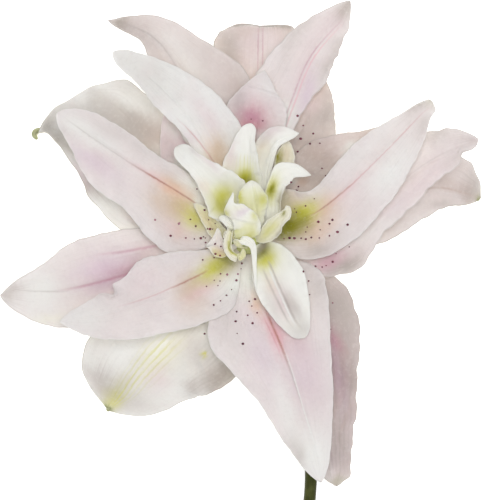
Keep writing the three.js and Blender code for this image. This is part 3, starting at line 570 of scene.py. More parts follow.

# Washes: colour, strength, place along the sheet (0 root, 1 tip), millimetres to the left of the
# midrib, and the spread in each of those two directions. Besides the sheets' own colours, many of the
# grey, shade and dusky washes are painted shade in hollows, folds and under other sheets, and many of
# the white and ivory ones are painted light where other sheets cast shadow
WASHES = {
    # On the outer top tepal, the shade washes near three quarters of its length are painted shade under its
    # curled-over top edge
    "tepal_outer_top": [
        ("rosy", 0.95, 0.6, -2, 0.1, 9), ("petal", 0.75, 0.6, -3, 0.08, 6),
        ("grey", 0.7, 0.57, 13, 0.12, 5), ("shade", 0.85, 0.76, 2, 0.026, 30),
        ("shade", 0.7, 0.78, -4, 0.02, 5), ("shade", 0.7, 0.77, -3, 0.02, 4),
        ("petal", 0.5, 0.54, 1, 0.07, 6),
    ],
    # On the outer left tepal, the grey, shade, brownish and violet washes are painted shade in its cupped
    # hollow and under the inner left tepal, and the white ones are painted light along its upper margin and
    # on its lower fold
    "tepal_outer_left": [
        ("grey", 0.28, 0.6, -6, 0.3, 18), ("grey", 0.75, 0.5, -18, 0.1, 7),
        ("grey", 0.35, 0.64, -14, 0.12, 12), ("brownish", 0.5, 0.42, -18, 0.07, 8),
        ("white", 0.5, 0.72, -16, 0.04, 4), ("shade", 0.6, 0.73, 4, 0.08, 4),
        ("grey", 0.7, 0.52, 14.5, 0.06, 3), ("violet", 0.3, 0.6, 12, 0.12, 4),
        ("violet", 0.35, 0.33, 14, 0.05, 4), ("white", 0.5, 0.44, 15, 0.05, 3),
        ("shade", 0.55, 0.82, 1, 0.06, 6), ("white", 0.5, 0.6, -25, 0.13, 2.5),
        ("tip_green", 1, 0.97, 0, 0.04, 9),
    ],
    # On the outer lower left tepal, the ivory wash near two thirds of its length is painted light where the
    # inner tepals shade it, and the grey and shade washes 26 to 32 mm left of the midrib are painted shade
    # beside the inner bottom tepal
    "tepal_outer_lower_left": [
        ("cream", 0.9, 0.66, 5, 0.16, 7), ("ivory", 0.8, 0.62, 2, 0.1, 4),
        ("white", 0.8, 0.72, -7, 0.16, 6), ("grey", 1, 0.56, 30, 0.12, 7),
        ("shade", 0.35, 0.53, 32, 0.08, 5), ("grey", 0.35, 0.54, 18, 0.07, 6),
        ("grey", 0.6, 0.72, 26, 0.07, 4), ("grey", 0.7, 0.94, -4, 0.07, 18),
        ("yellow_green", 0.5, 0.96, 0, 0.07, 4), ("tip_green", 1, 1.01, 0, 0.025, 3),
        ("yellow_green", 0.7, 0.53, 19, 0.014, 1.4), ("rosy", 0.5, 0.78, 12, 0.07, 5),
    ],
    "tepal_outer_bottom": [
        ("magenta", 0.6, 0.44, 12.5, 0.05, 2.6), ("violet", 0.45, 0.56, 9, 0.12, 4),
        ("grey", 0.8, 0.34, 20, 0.16, 7), ("shade", 0.35, 0.6, 14, 0.09, 5),
        ("grey", 0.3, 0.84, 5, 0.1, 5), ("petal", 0.6, 0.96, -1, 0.05, 4),
        ("tip_green", 0.35, 1, 3, 0.03, 5),
    ],
    "tepal_outer_right": [
        ("petal", 0.5, 0.6, -10, 0.1, 5), ("brownish", 0.6, 0.93, 1.5, 0.09, 3),
        ("brownish", 0.5, 0.95, -1.6, 0.04, 2), ("brownish", 0.3, 0.78, 3, 0.07, 2.5),
        ("grey", 0.5, 0.8, -6, 0.1, 2), ("grey", 0.75, 0.95, 4, 0.06, 9),
        ("grey", 0.35, 0.5, -9, 0.16, 5), ("tip_green", 0.9, 1, 0, 0.025, 2),
    ],
    "tepal_middle_upper_left": [
        ("brownish", 0.35, 0.48, -18, 0.12, 5), ("white", 0.5, 0.62, -4, 0.12, 5),
        ("white", 0.4, 0.74, -2, 0.05, 4), ("rosy", 0.7, 0.4, 12, 0.06, 5),
        ("grey", 0.45, 0.84, 4, 0.1, 4), ("shade", 0.6, 0.95, 0, 0.06, 8),
        ("ivory", 0.7, 0.4, 12, 0.04, 3),
    ],
    # On the middle left tepal, the ivory and white washes are painted light that lifts the shadow its
    # neighbours cast on it
    "tepal_middle_left": [
        ("magenta", 0.3, 0.52, 4, 0.05, 3), ("ivory", 0.9, 0.44, 10, 0.05, 3.5),
        ("white", 0.6, 0.68, 6, 0.06, 4), ("white", 0.95, 0.45, 10, 0.06, 4),
    ],
    "tepal_middle_lower_left": [
        ("lilac", 0.7, 0.52, -5, 0.13, 7), ("magenta", 0.42, 0.45, -1, 0.1, 3.4),
        ("magenta", 0.15, 0.34, -7, 0.07, 3), ("violet", 0.35, 0.56, 2.5, 0.08, 3.5),
        ("cream", 0.6, 0.82, 12, 0.1, 3), ("white", 0.9, 0.83, 0, 0.1, 10),
        ("grey", 0.75, 0.97, 3, 0.04, 6), ("grey", 0.5, 0.96, -3, 0.05, 2.5),
        ("tan", 0.2, 0.15, 0, 0.12, 8),
    ],
    "tepal_middle_right": [
        ("rosy", 0.6, 0.28, -10, 0.1, 8), ("grey", 1, 0.3, -14, 0.08, 5),
        ("magenta", 0.5, 0.27, -8.5, 0.05, 3.5), ("lilac", 0.2, 0.56, -5, 0.12, 4),
        ("white", 0.4, 0.42, -7, 0.07, 3), ("grey", 0.35, 0.88, -4, 0.06, 3),
        ("rosy", 0.5, 0.68, -8, 0.1, 4), ("rosy", 0.4, 0.76, -4, 0.1, 4),
        ("grey", 0.55, 0.85, 10, 0.06, 4), ("dusky", 0.95, 0.97, 3, 0.05, 7),
    ],
    "tepal_middle_upper_right": [
        ("grey", 0.5, 0.42, 2, 0.14, 14), ("brownish", 0.75, 0.5, 8, 0.11, 9),
        ("brownish", 0.3, 0.15, 0, 0.12, 12), ("white", 0.9, 0.7, 0, 0.07, 3.5),
        ("white", 0.8, 0.32, 5.6, 0.03, 2), ("peach", 0.4, 0.34, 3, 0.04, 3),
    ],
    "tepal_middle_top": [
        ("grey", 0.35, 0.5, 0, 0.16, 14), ("rosy", 0.5, 0.68, 0, 0.06, 4),
        ("grey", 0.65, 0.66, -9, 0.1, 6), ("grey", 0.3, 0.79, -4, 0.05, 3),
    ],
    # On the inner left tepal, the ivory washes near its root are painted light that lifts the shadow of the
    # heart
    "tepal_inner_left": [
        ("lilac", 0.45, 0.72, 9, 0.14, 4), ("white", 0.7, 0.74, -1, 0.12, 4),
        ("pink", 0.3, 0.42, 0, 0.14, 1.4), ("tan", 0.45, 0.35, 6, 0.1, 6),
        ("peach", 0.85, 0.35, -0.5, 0.09, 3), ("tan", 0.6, 0.28, 4, 0.07, 5),
        ("ivory", 0.9, 0.28, -6.5, 0.07, 3.5), ("tan", 0.35, 0.35, -3.5, 0.07, 2.4),
        ("yellow_green", 0.75, 0.2, 4, 0.08, 5), ("tan", 0.3, 0.22, 13, 0.06, 4),
        ("white", 0.8, 0.88, 0, 0.08, 4), ("grey", 0.3, 0.93, 5, 0.05, 2.5),
        ("pink", 0.25, 0.24, 13, 0.08, 4), ("grey", 0.25, 0.6, -8, 0.2, 4),
        ("ivory", 0.7, 0.23, -2.6, 0.025, 1.8), ("peach", 0.4, 0.33, -2, 0.05, 2),
    ],
    "tepal_inner_upper_left": [
        ("rosy", 0.6, 0.5, -7, 0.13, 4), ("peach", 0.35, 0.36, -1, 0.08, 3),
        ("tan", 0.65, 0.35, -5, 0.07, 4.5), ("tan", 0.6, 0.29, -3, 0.04, 4),
        ("grey", 0.25, 0.79, 0, 0.13, 11), ("rosy", 0.5, 0.47, 5, 0.05, 2.5),
        ("grey", 0.2, 0.95, 1, 0.05, 6),
    ],
    "tepal_inner_top": [
        ("rosy", 0.8, 0.76, 2, 0.16, 9), ("brownish", 0.3, 0.5, -3, 0.1, 12),
        ("rose", 0.42, 0.66, 2, 0.1, 7), ("dusky", 0.8, 0.74, 8.5, 0.12, 3.5),
        ("magenta", 0.75, 0.65, 3, 0.07, 5), ("rose", 0.6, 0.6, 3, 0.04, 5),
        ("violet", 0.3, 0.56, 1, 0.06, 6), ("white", 0.5, 0.88, -3, 0.09, 6),
        ("petal", 0.6, 0.53, -1, 0.04, 3),
    ],
    "tepal_inner_upper_right": [
        ("rosy", 0.5, 0.7, 0, 0.3, 5), ("white", 0.9, 0.45, 0, 0.07, 4),
        ("lilac", 0.6, 0.57, -5.5, 0.1, 3), ("petal", 0.6, 0.7, 6, 0.14, 6),
        ("white", 0.4, 0.78, -3, 0.05, 2.5), ("grey", 0.6, 0.78, -10, 0.16, 3.5),
        ("grey", 0.4, 0.8, 9, 0.12, 3), ("shade", 0.6, 0.98, -1, 0.05, 6),
    ],
    "tepal_inner_right": [
        ("white", 0.4, 0.7, 6, 0.2, 4), ("rosy", 0.35, 0.45, -8, 0.12, 7),
        ("white", 0.9, 0.64, -9, 0.13, 6), ("pink", 0.25, 0.4, -1, 0.14, 1.6),
        ("peach", 0.5, 0.33, 0, 0.08, 4), ("tan", 0.6, 0.2, 0, 0.08, 12),
        ("yellow_green", 0.95, 0.22, 2.8, 0.08, 5), ("olive", 1, 0.14, 0, 0.07, 5),
        ("olive", 0.6, 0.11, -0.5, 0.05, 2.6), ("olive", 0.35, 0.21, 0, 0.04, 5),
        ("olive", 0.45, 0.15, 12, 0.05, 5), ("grey", 0.6, 0.22, -14, 0.06, 4),
        ("peach", 0.4, 0.28, -6, 0.08, 4), ("white", 0.3, 0.8, -2, 0.07, 6),
        ("grey", 0.8, 0.94, 3.6, 0.06, 3), ("grey", 0.4, 0.9, -6, 0.06, 3),
        ("tip_green", 0.3, 1, 0, 0.04, 6), ("olive", 0.4, 0.1, -3, 0.04, 3),
        ("shade", 0.4, 0.97, 2.6, 0.03, 1.6),
    ],
    # On the inner bottom tepal, the ivory wash near its root is painted light that lifts the shadow of the
    # petaloids
    "tepal_inner_bottom": [
        ("rosy", 0.5, 0.58, 7, 0.2, 8), ("lilac", 0.3, 0.6, 6, 0.12, 8),
        ("lilac", 0.4, 0.46, -9, 0.16, 6), ("white", 0.6, 0.7, -6, 0.14, 3.5),
        ("pink", 0.85, 0.4, -0.6, 0.09, 3.4), ("magenta", 0.25, 0.44, 7, 0.08, 4),
        ("peach", 0.75, 0.25, -3.2, 0.06, 2.6), ("ivory", 1, 0.13, -3, 0.08, 7),
        ("white", 1, 0.9, 0, 0.12, 10), ("grey", 0.2, 0.3, -18, 0.14, 6),
        ("grey", 0.4, 0.28, 23, 0.1, 5), ("grey", 0.6, 0.89, -7, 0.08, 4),
    ],
    "tepal_inner_lower_left": [
        ("tan", 0.35, 0.33, 7, 0.08, 9), ("tan", 0.5, 0.28, 1.5, 0.08, 4),
        ("ivory", 1, 0.11, 11, 0.07, 5), ("yellow_green", 0.9, 0.15, 0.6, 0.09, 4.4),
        ("olive", 0.7, 0.08, 1, 0.055, 4), ("pink", 0.3, 0.27, 6, 0.1, 3),
        ("rosy", 0.5, 0.5, -9, 0.14, 6), ("dusky", 0.6, 0.75, -9, 0.05, 4),
        ("white", 0.7, 0.88, 0, 0.14, 8),
    ],
    # In the heart, the shade, grey and dusky washes are painted shade in hollows, on blades that face away
    # and along margins that other petaloids shade, and the olive washes are partly the petaloids' own green
    # and partly painted shade in their hollows
    "petaloid_top": [
        ("tan", 0.3, 0.64, 7, 0.1, 3), ("yellow_green", 0.95, 0.48, -0.6, 0.11, 4.6),
        ("olive", 0.65, 0.45, -0.8, 0.065, 3.4), ("rosy", 0.6, 0.72, 6, 0.14, 3),
        ("ivory", 0.8, 0.53, -6, 0.06, 2.2),
    ],
    "petaloid_top_right": [
        ("cream", 0.6, 0.64, 3.4, 0.1, 2.6), ("tan", 0.35, 0.62, 3.8, 0.1, 2.6),
        ("grey", 0.5, 0.74, 5.4, 0.1, 3), ("rosy", 0.6, 0.8, 5, 0.1, 3),
        ("cream", 0.4, 0.59, 2, 0.05, 2),
    ],
    "petaloid_back_right": [("olive", 1, 0.7, 2.6, 0.14, 1.7), ("tan", 0.3, 0.8, 0, 0.14, 2.5)],
    "petaloid_right": [
        ("yellow_green", 0.95, 0.5, 1.8, 0.13, 2.8), ("olive", 0.9, 0.5, 1.7, 0.07, 1.6),
        ("shade", 0.9, 0.4, -4, 0.09, 1.7), ("olive", 0.7, 0.38, -3.6, 0.06, 1.4),
        ("olive", 0.6, 0.39, -3, 0.09, 1.6), ("dusky", 0.45, 0.4, -3, 0.07, 1.5),
    ],
    "petaloid_left": [
        ("yellow_green", 0.9, 0.41, 1, 0.11, 6.5), ("olive", 0.35, 0.37, 3.6, 0.05, 2.4),
        ("peach", 0.3, 0.6, 4.5, 0.07, 2.5), ("white", 0.6, 0.85, 0, 0.14, 6),
        ("rosy", 0.7, 0.7, -5.6, 0.1, 2.5), ("dusky", 0.55, 0.84, -4.4, 0.07, 2),
        ("ivory", 0.35, 0.36, 0, 0.03, 2), ("yellow_green", 0.5, 0.36, 5, 0.06, 2),
        ("cream", 0.6, 0.36, -5.4, 0.06, 2),
    ],
    "petaloid_bottom": [
        ("yellow_green", 0.9, 0.27, 1, 0.1, 5.5), ("olive", 0.9, 0.17, 1.8, 0.07, 4.8),
        ("shade", 0.6, 0.12, 2.6, 0.05, 3.4), ("shade", 0.8, 0.14, 3.8, 0.04, 2),
        ("tan", 0.35, 0.5, -1.6, 0.1, 3), ("rosy", 0.7, 0.66, 0, 0.18, 5),
        ("grey", 0.55, 0.72, 3, 0.16, 2.6), ("grey", 0.3, 0.68, -5, 0.16, 3),
        ("grey", 0.4, 0.94, 1, 0.08, 6),
    ],
    "petaloid_bottom_strip": [("yellow_green", 0.3, 0.1, 0, 0.15, 3)],
    "petaloid_crumpled": [
        ("yellow_green", 0.7, 0.6, 0.9, 0.3, 0.8), ("olive", 0.7, 0.55, 1.2, 0.2, 0.5),
    ],
    "petaloid_bud": [
        ("yellow_green", 0.45, 0.58, 0, 0.4, 7), ("olive", 0.3, 0.67, -2.6, 0.09, 2.6),
        ("yellow_green", 0.6, 0.65, -4, 0.12, 2.6), ("yellow_green", 0.85, 0.76, 5.2, 0.2, 1.8),
        ("white", 0.5, 0.94, 0, 0.06, 3),
    ],
    "petaloid_hood": [
        ("yellow_green", 0.75, 0.34, 0.6, 0.2, 5), ("olive", 0.3, 0.77, 5.6, 0.06, 1.8),
        ("olive", 0.25, 0.48, 5, 0.08, 2.4), ("yellow_green", 0.55, 0.55, -5, 0.08, 2),
        ("yellow_green", 0.9, 0.79, 5.4, 0.08, 2), ("lilac", 0.6, 0.75, -1, 0.06, 4),
        ("cream", 0.7, 0.82, 0, 0.05, 4), ("olive", 0.35, 0.79, 5.4, 0.05, 1.8),
        ("yellow_green", 0.4, 0.46, 4, 0.06, 2), ("cream", 0.6, 0.6, 3, 0.05, 2.4),
        ("ivory", 0.8, 0.36, -5, 0.07, 2), ("ivory", 0.35, 0.4, 1, 0.06, 1.8),
    ],
    "petaloid_small_left": [("yellow_green", 0.25, 0.4, 0, 0.2, 1)],
    "petaloid_small_right": [
        ("olive", 0.8, 0.72, 0.6, 0.06, 0.9), ("shade", 0.7, 0.45, -4, 0.1, 1),
        ("yellow_green", 0.55, 0.35, 0, 0.2, 2),
    ],
    "petaloid_far_left": [("yellow_green", 0.35, 0.5, 0, 0.4, 3), ("tan", 0.35, 0.5, 1, 0.3, 2)],
    "petaloid_tooth": [
        ("rosy", 0.6, 0.4, 0, 0.5, 6), ("yellow_green", 0.65, 0.27, 3.4, 0.1, 2.4),
        ("tan", 0.5, 0.28, 2, 0.1, 3),
    ],
}

# Waves of a ragged margin: height, waves from root to tip, shift from side to side, share of the phase
MARGIN_WAVES = [(0.5, 4.3, 0.17, 1), (0.4, 9.7, -0.29, 2.3), (0.3, 19.3, 0.41, 3.1)]

# Swells of a blade: height, length along the sheet and across it in millimetres, share of the phase
SWELLS = [(1, 37, 31, 1), (0.7, 23, -19, 2.3), (0.35, 11, 14, 3.7)]

# Relief of a sheet, in millimetres: the groove along the midrib, the soft valley round it, the keel
# below, the swells of the blade and the fine ruffle and turned-down rim of its margins
GROOVE_DEPTH = 0.28
GROOVE_WIDTH = 0.45
VALLEY_DEPTH = 0.5
VALLEY_WIDTH = 4
KEEL_HEIGHT = 0.35
KEEL_WIDTH = 1.3
SWELL_HEIGHT = 0.42
RUFFLE_HEIGHT = 0.34
RUFFLE_WIDTH = 3
RIM_DROP = 0.22
RIM_WIDTH = 0.9

# Half width of a sheet that carries the whole of its relief, the shares of the length over which
# the relief sets in at the root and fades at the tip, and how many flutes a half has
FULL_BREADTH = 9
ROOT_FADE = 1 / 8
TIP_FADE = 1 / 4
FLUTES = 2

# How steeply a sheet thins to its tip, and the share of its thickness that is left there
TAPER = 10
TIP_THICKNESS = 0.3

# How much further on the waves of a sheet start than those of the sheet before
PHASE_STEP = 1.7

# Share of the length over which a direction is measured
NUDGE = 0.004

# Above this likeness to the sheet's overall direction, its crosswise direction follows the midrib
FOLLOW_LIMIT = 0.67

# How far the frills of the right margin lag behind those of the left one
FRILL_LAG = 0.31

# Last share of the length, over which a tip closes, and how much of the width it loses there
TIP_ROUNDING = 0.07
TIP_CLOSING = 0.985

# Patterns of a petal's material: clouds, mottle and papillae as repeats a millimetre, the veins as
# repeats from midrib to margin and along a millimetre, and how strongly they show
CLOUD_SCALE = 0.075
MOTTLE_SCALE = 0.62
PAPILLA_SCALE = 2.1
VEINS_ACROSS = 26.0
VEINS_ALONG = 0.035
CLOUD_SHARE = 0.22
VEIN_SHARE = 0.09
MOTTLE_SHARE = 0.09
BRIGHT_SHARE = 0.12
BACK_SHARE = 0.6
BACK_KEEL_WIDTH = 2.4

# How deep the grain of petals and green skins looks, in metres
GRAIN = 0.0004

# Camera, in millimetres: height above the surface, the point of the bloom's plane under it, and the
# width of the field at a height of the bloom
CAMERA_HEIGHT = 1800
CAMERA_PLACE = (-2.7, -4.2)
FIELD_HEIGHT = 40
FIELD = 208.3
SENSOR = 36

# The round table and the sweep that rises from its edge, in millimetres, and how they glow
FLOOR_RADIUS = 6000
SWEEP_RADIUS = 600
SWEEP_STEPS = 12
FLOOR_SIDES = 96
FLOOR_GLOW = 0.6

# Light all round, and square lights: place from the bloom's axis and size in metres, and watts
SKY_STRENGTH = 0.438
LIGHTS = {"key": ((0.02, 0.1, 1.4), 0.45, 8.7), "fill": ((0.6, -0.5, 1.1), 1.0, 1.5)}


def along_knots(knots, u):
    """Smooth values or points through evenly spaced knots, at the shares u of the whole."""
    knots = np.asarray(knots, float)
    spans = len(knots) - 1
    first = 2 * knots[0] - knots[1]
    last = 2 * knots[-1] - knots[-2]
    padded = np.concatenate([[first], knots, [last]])
    place = np.clip(u, 0, 1) * spans
    start = np.minimum(np.floor(place).astype(int), spans - 1)
    t = place - start
    if knots.ndim > 1:
        t = t[..., None]
    a, b, c, d = (padded[start + k] for k in range(4))
    bend = (2 * a - 5 * b + 4 * c - d) * t**2 + (3 * b - a - 3 * c + d) * t**3
    return 0.5 * (2 * b + (c - a) * t + bend)


def unit(vectors):
    """Vectors of length one along the last axis."""
    return vectors / np.linalg.norm(vectors, axis=-1, keepdims=True)


def run_lengths(points):
    """Lengths from the first of a row of points to each of them."""
    steps = np.linalg.norm(np.diff(points, axis=0), axis=1)
    return np.concatenate([[0], np.cumsum(steps)])


def bell(x):
    """Smooth bump of height one round zero."""
    return np.exp(-(x**2))


def midrib_knots(sheet):
    """The midrib's knots, starting where the sheet is grown into the receptacle."""
    angle, height = sheet["root"]
    radii, heights = zip(*RECEPTACLE_PROFILE[1:])
    radius = np.interp(height, heights, radii) - ROOT_DEPTH
    turn = math.radians(angle)
    root = [radius * math.cos(turn), radius * math.sin(turn), height]
    return np.array([root, *sheet["midrib"]], float)


def wander(u, side, phase):
    """Uneven wave of height about one along a margin, different on either side."""
    return sum(
        height * np.sin(2 * np.pi * (waves * u + shift * side) + share * phase)
        for height, waves, shift, share in MARGIN_WAVES
    )


def sheet_surface(sheet, u, v, phase=0.0, ragged=0.0):
    """Points of a sheet's middle surface; u from root to tip, v from the right margin to the left."""
    knots = midrib_knots(sheet)
    along = unit(along_knots(knots, u + NUDGE) - along_knots(knots, u - NUDGE))
    overall = unit((knots[-1] - knots[0]) * [1, 1, 0])
    level = along * [1, 1, 0]
    weight = np.clip(level @ overall / FOLLOW_LIMIT, 0, 1)[..., None]
    heading = unit(level * weight + overall * (1 - weight))
    left = np.stack([-heading[..., 1], heading[..., 0], np.zeros_like(u)], axis=-1)
    left = unit(left - along * (left * along).sum(-1, keepdims=True))
    out = np.cross(along, left)
    roll = np.radians(along_knots(sheet.get("roll", (0, 0)), u))[..., None]
    rolled_left = left * np.cos(roll) + out * np.sin(roll)
    rolled_out = out * np.cos(roll) - left * np.sin(roll)
    half_width = np.where(v > 0, along_knots(sheet["left"], u), along_knots(sheet["right"], u))
    settled = np.clip(u / SETTLED_SHARE, 0, 1) * np.clip((1 - u) / SETTLED_SHARE, 0, 1)
    settled = settled * np.clip(half_width / SETTLED_WIDTH, 0, 1)
    half_width = half_width + ragged * settled * wander(u, np.sign(v), phase)
    closing = np.clip((u - 1 + TIP_ROUNDING) / TIP_ROUNDING, 0, 1)
    half_width = half_width * np.sqrt(1 - TIP_CLOSING * closing**2)
    wave_height, wave_count = sheet.get("wave", (0, 0))
    frill = wave_height * v**2 * np.sin(2 * np.pi * (wave_count * u + FRILL_LAG * v))
    rise = along_knots(sheet["cup"], u) * half_width * v**2 + frill
    across = v * half_width
    points = along_knots(knots, u) + rolled_left * across[..., None] + rolled_out * rise[..., None]
    return points, across, half_width


def relief(u, v, across, half_width, reach, phase, flutes):
    """Heights of the fine relief on a sheet's upper and lower face."""
    fade = np.clip((1 - u) / TIP_FADE, 0, 1) * np.clip(u / ROOT_FADE, 0.2, 1)
    inset = (1 - np.abs(v)) * half_width
    groove = -GROOVE_DEPTH * bell(across / GROOVE_WIDTH)
    valley = -VALLEY_DEPTH * bell(across / VALLEY_WIDTH)
    keel = KEEL_HEIGHT * bell(across / KEEL_WIDTH)
    fluting = flutes * np.cos(2 * np.pi * FLUTES * v) * (1 - v**4) * np.sin(np.pi * u)
    swell = sum(
        height * np.sin(2 * np.pi * (reach / length + across / breadth) + share * phase)
        for height, length, breadth, share in SWELLS
    )
    swell = swell * SWELL_HEIGHT * np.clip(u * 3, 0, 1) * np.clip(2 * (1 - u) + 0.3, 0, 1)
    ruffle = wander(u, np.sign(v), 1.9 * phase) * RUFFLE_HEIGHT * bell(inset / RUFFLE_WIDTH)
    rim = -RIM_DROP * bell(inset / RIM_WIDTH)
    breadth = np.clip(half_width / FULL_BREADTH, 0.12, 1)
    shared = fluting + (valley * fade + swell + (ruffle + rim) * fade) * breadth
    return shared + groove * fade * breadth, shared - keel * fade * breadth


def folded(name, points):
    """How far the folds of a sheet lift or sink its points."""
    lift = np.zeros(points.shape[:-1])
    for x0, y0, x1, y1, height, width in FOLDS.get(name, []):
        run = np.array([x1 - x0, y1 - y0], float)
        off = points[..., :2] - [x0, y0]
        share = np.clip(off @ run / (run @ run), 0, 1)
        away = np.linalg.norm(off - share[..., None] * run, axis=-1)
        lift += height * bell(away / width) * np.sin(np.pi * np.clip(share, 0.12, 0.88)) ** 0.5
    return lift


def tugged(name, points):
    """Points of a sheet after its local nudges."""
    for x, y, dx, dy, dz, reach in TUGS.get(name, []):
        away = np.linalg.norm(points[..., :2] - [x, y], axis=-1)
        points = points + bell(away / reach)[..., None] * np.array([dx, dy, dz])
    return points


def quads(grid):
    """Faces of a grid of vertex numbers, facing the side that its rows and columns turn to."""
    corners = [grid[:-1, :-1], grid[:-1, 1:], grid[1:, 1:], grid[1:, :-1]]
    return np.stack([corner.ravel() for corner in corners], axis=-1).tolist()


def wrapped(rings, sides, start=0):
    """Vertex numbers of rings of points, with the first of each ring once more at its end."""
    grid = start + np.arange(rings * sides).reshape(rings, sides)
    return np.concatenate([grid, grid[:, :1]], axis=1)


def fan(ring, point):
    """Triangles that close a ring of vertex numbers with one point."""
    return [[int(a), int(b), int(point)] for a, b in zip(ring[:-1], ring[1:])]


def new_piece(name, vertices, faces, values=None):
    """A smooth mesh object from points in millimetres, with numbers at them for its material."""
    places = np.asarray(vertices, float) * MM + [AXIS_X, AXIS_Y, SURFACE_Z]
    mesh = bpy.data.meshes.new(name)
    mesh.from_pydata(places.tolist(), [], faces)
    mesh.update()
    mesh.shade_smooth()
    for key, numbers in (values or {}).items():
        attribute = mesh.attributes.new(key, "FLOAT", "POINT")
        attribute.data.foreach_set("value", np.asarray(numbers, np.float32))
    piece = bpy.data.objects.new(name, mesh)
    bpy.context.scene.collection.objects.link(piece)
    return piece


def refined(node, sheet):
    """A sheet of the solid model with its tip as blunt, and its ribbon as long, as it looks."""
    finer = dict(sheet)
    if node in BLUNT_TIPS:
        finer["left"] = [*sheet["left"][:-1], BLUNT_TIPS[node]]
        finer["right"] = [*sheet["right"][:-1], BLUNT_TIPS[node]]
    finer["midrib"] = RIBBON_ROUTES.get(node, sheet["midrib"])
    return finer


def sheet_piece(node, sheet, make, phase):
    """A closed thin sheet with rounded margins, and the coordinates that its material reads."""
    rows = make["rows"] + 1
    columns = make["columns"] + 1
    v = np.sin(np.linspace(np.pi / 2, -np.pi / 2, columns)) / 2 + np.linspace(1, -1, columns) / 2
    u, v = np.meshgrid(np.linspace(0, 1, rows), v, indexing="ij")
    ragged = RAGGED_MARGINS.get(node, RAGGED)
    points, across, half_width = sheet_surface(sheet, u, v, phase, ragged)
    later = sheet_surface(sheet, np.minimum(u + NUDGE, 1), v)[0]
    earlier = sheet_surface(sheet, np.maximum(u - NUDGE, 0), v)[0]
    leftward = sheet_surface(sheet, u, np.minimum(v + NUDGE, 1))[0]
    rightward = sheet_surface(sheet, u, np.maximum(v - NUDGE, -1))[0]
    normals = unit(np.cross(later - earlier, leftward - rightward))
    middle, margin = make["thickness"]
    half = (margin + (middle - margin) * (1 - np.abs(v) ** 1.5)) / 2
    half = half * np.clip((1 - u) * TAPER, TIP_THICKNESS, 1)
    reach = run_lengths(along_knots(midrib_knots(sheet), u[:, 0]))[:, None] * np.ones(columns)
    upper, lower = relief(u, v, across, half_width, reach, phase, make["flutes"])
    points = tugged(node, points + normals * folded(node, points)[..., None])
    top = points + normals * (half + upper)[..., None]
    bottom = points + normals * (lower - half)[..., None]
    count = rows * columns
    grid = np.arange(count).reshape(rows, columns)
    faces = quads(grid) + quads(grid[:, ::-1] + count)
    rim = np.concatenate([grid[0, :], grid[1:, -1], grid[-1, -2::-1], grid[-2:0:-1, 0]])
    after = np.roll(rim, -1)
    faces += np.stack([after, rim, rim + count, after + count], axis=-1).tolist()
    inset = (1 - np.abs(v)) * half_width
    shared = {"along": u, "across": across, "margin": v, "inset": inset, "reach": reach}
    values = {key: np.tile(value.ravel(), 2) for key, value in shared.items()}
    values["upper"] = np.repeat([1.0, 0.0], count)
    vertices = np.concatenate([top.reshape(-1, 3), bottom.reshape(-1, 3)])
    return new_piece(f"lily_{node}", vertices, faces, values)


def tube_piece(name, centre, radius, side, run, angle, length, pith, wall=OUTWARDS):
    """A closed tube: rings of points round a middle line, the first and last ring as one point."""
    over = np.cross(run, side)
    turned = np.cos(angle)[:, None] * side[:, None] + np.sin(angle)[:, None] * over[:, None]
    rings = centre[1:-1, None] + radius[1:-1, :, None] * turned[1:-1]
    count, sides = rings.shape[:2]
    grid = wrapped(count, sides)
    foot = count * sides
    faces = quads(grid[:, ::wall]) + fan(grid[0, ::-1], foot) + fan(grid[-1], foot + 1)
    vertices = np.concatenate([rings.reshape(-1, 3), centre[[0, -1]]])
    values = {"around": np.append(np.tile(angle, count), [0, 0])}
    for key, levels in (("length", length), ("pith", pith)):
        values[key] = np.append(np.repeat(levels[1:-1], sides), [levels[0], levels[-1]])
    return new_piece(name, vertices, faces, values)


def full_turn(sides):
    """Even angles round a ring."""
    return np.linspace(0, 2 * np.pi, sides, endpoint=False)


def stem_piece():
    """The stem: a ribbed tube with faint leaf scars, its cut ends slightly hollow."""
    u = np.linspace(0, 1, STEM_RINGS + 1)
    route = np.array(STEM_ROUTE, float)
    knots_at = run_lengths(route) / run_lengths(route)[-1]
    centre = along_knots(route, np.interp(u, knots_at, np.linspace(0, 1, len(route))))
    run = unit(np.gradient(centre, axis=0))
    side = unit(np.cross(run, [0.3, 0.2, 1.0]))
    for ring in range(1, STEM_RINGS + 1):
        side[ring] = unit(side[ring - 1] - run[ring] * (side[ring - 1] @ run[ring]))
    angle = full_turn(STEM_SIDES)
    length = run_lengths(centre)
    radius = STEM_DIAMETER / 2 * (STEM_SLIMMED + STEM_GAIN * u)[:, None] * np.ones(STEM_SIDES)
    radius = radius + RIB_HEIGHT * np.cos(RIBS * angle + RIB_TWIST * length[:, None])
    for place, turn in SCARS:
        reach = (length[:, None] - place) / SCAR_LENGTH + SCAR_BOW * (angle - turn) ** 2
        radius = radius + SCAR_HEIGHT * bell(reach) * bell((angle - turn) / SCAR_SPREAD)
    shares = np.arange(CAP_RINGS)[:, None] / CAP_RINGS
    hollow = CAP_HOLLOW * (1 - shares**2)
    centre = np.concatenate([centre[0] + run[0] * hollow, centre, centre[-1] - run[-1] * hollow[::-1]])
    radius = np.concatenate([radius[0] * shares, radius, radius[-1] * shares[::-1]])
    side, run = (np.pad(rows, ((CAP_RINGS, CAP_RINGS), (0, 0)), "edge") for rows in (side, run))
    pith = np.zeros(len(centre))
    pith[-CAP_RINGS:] = np.maximum(shares[::-1, 0], 0.03)
    length = np.pad(length, CAP_RINGS, "edge")
    return tube_piece("lily_stem", centre, radius, side, run, angle, length, pith)


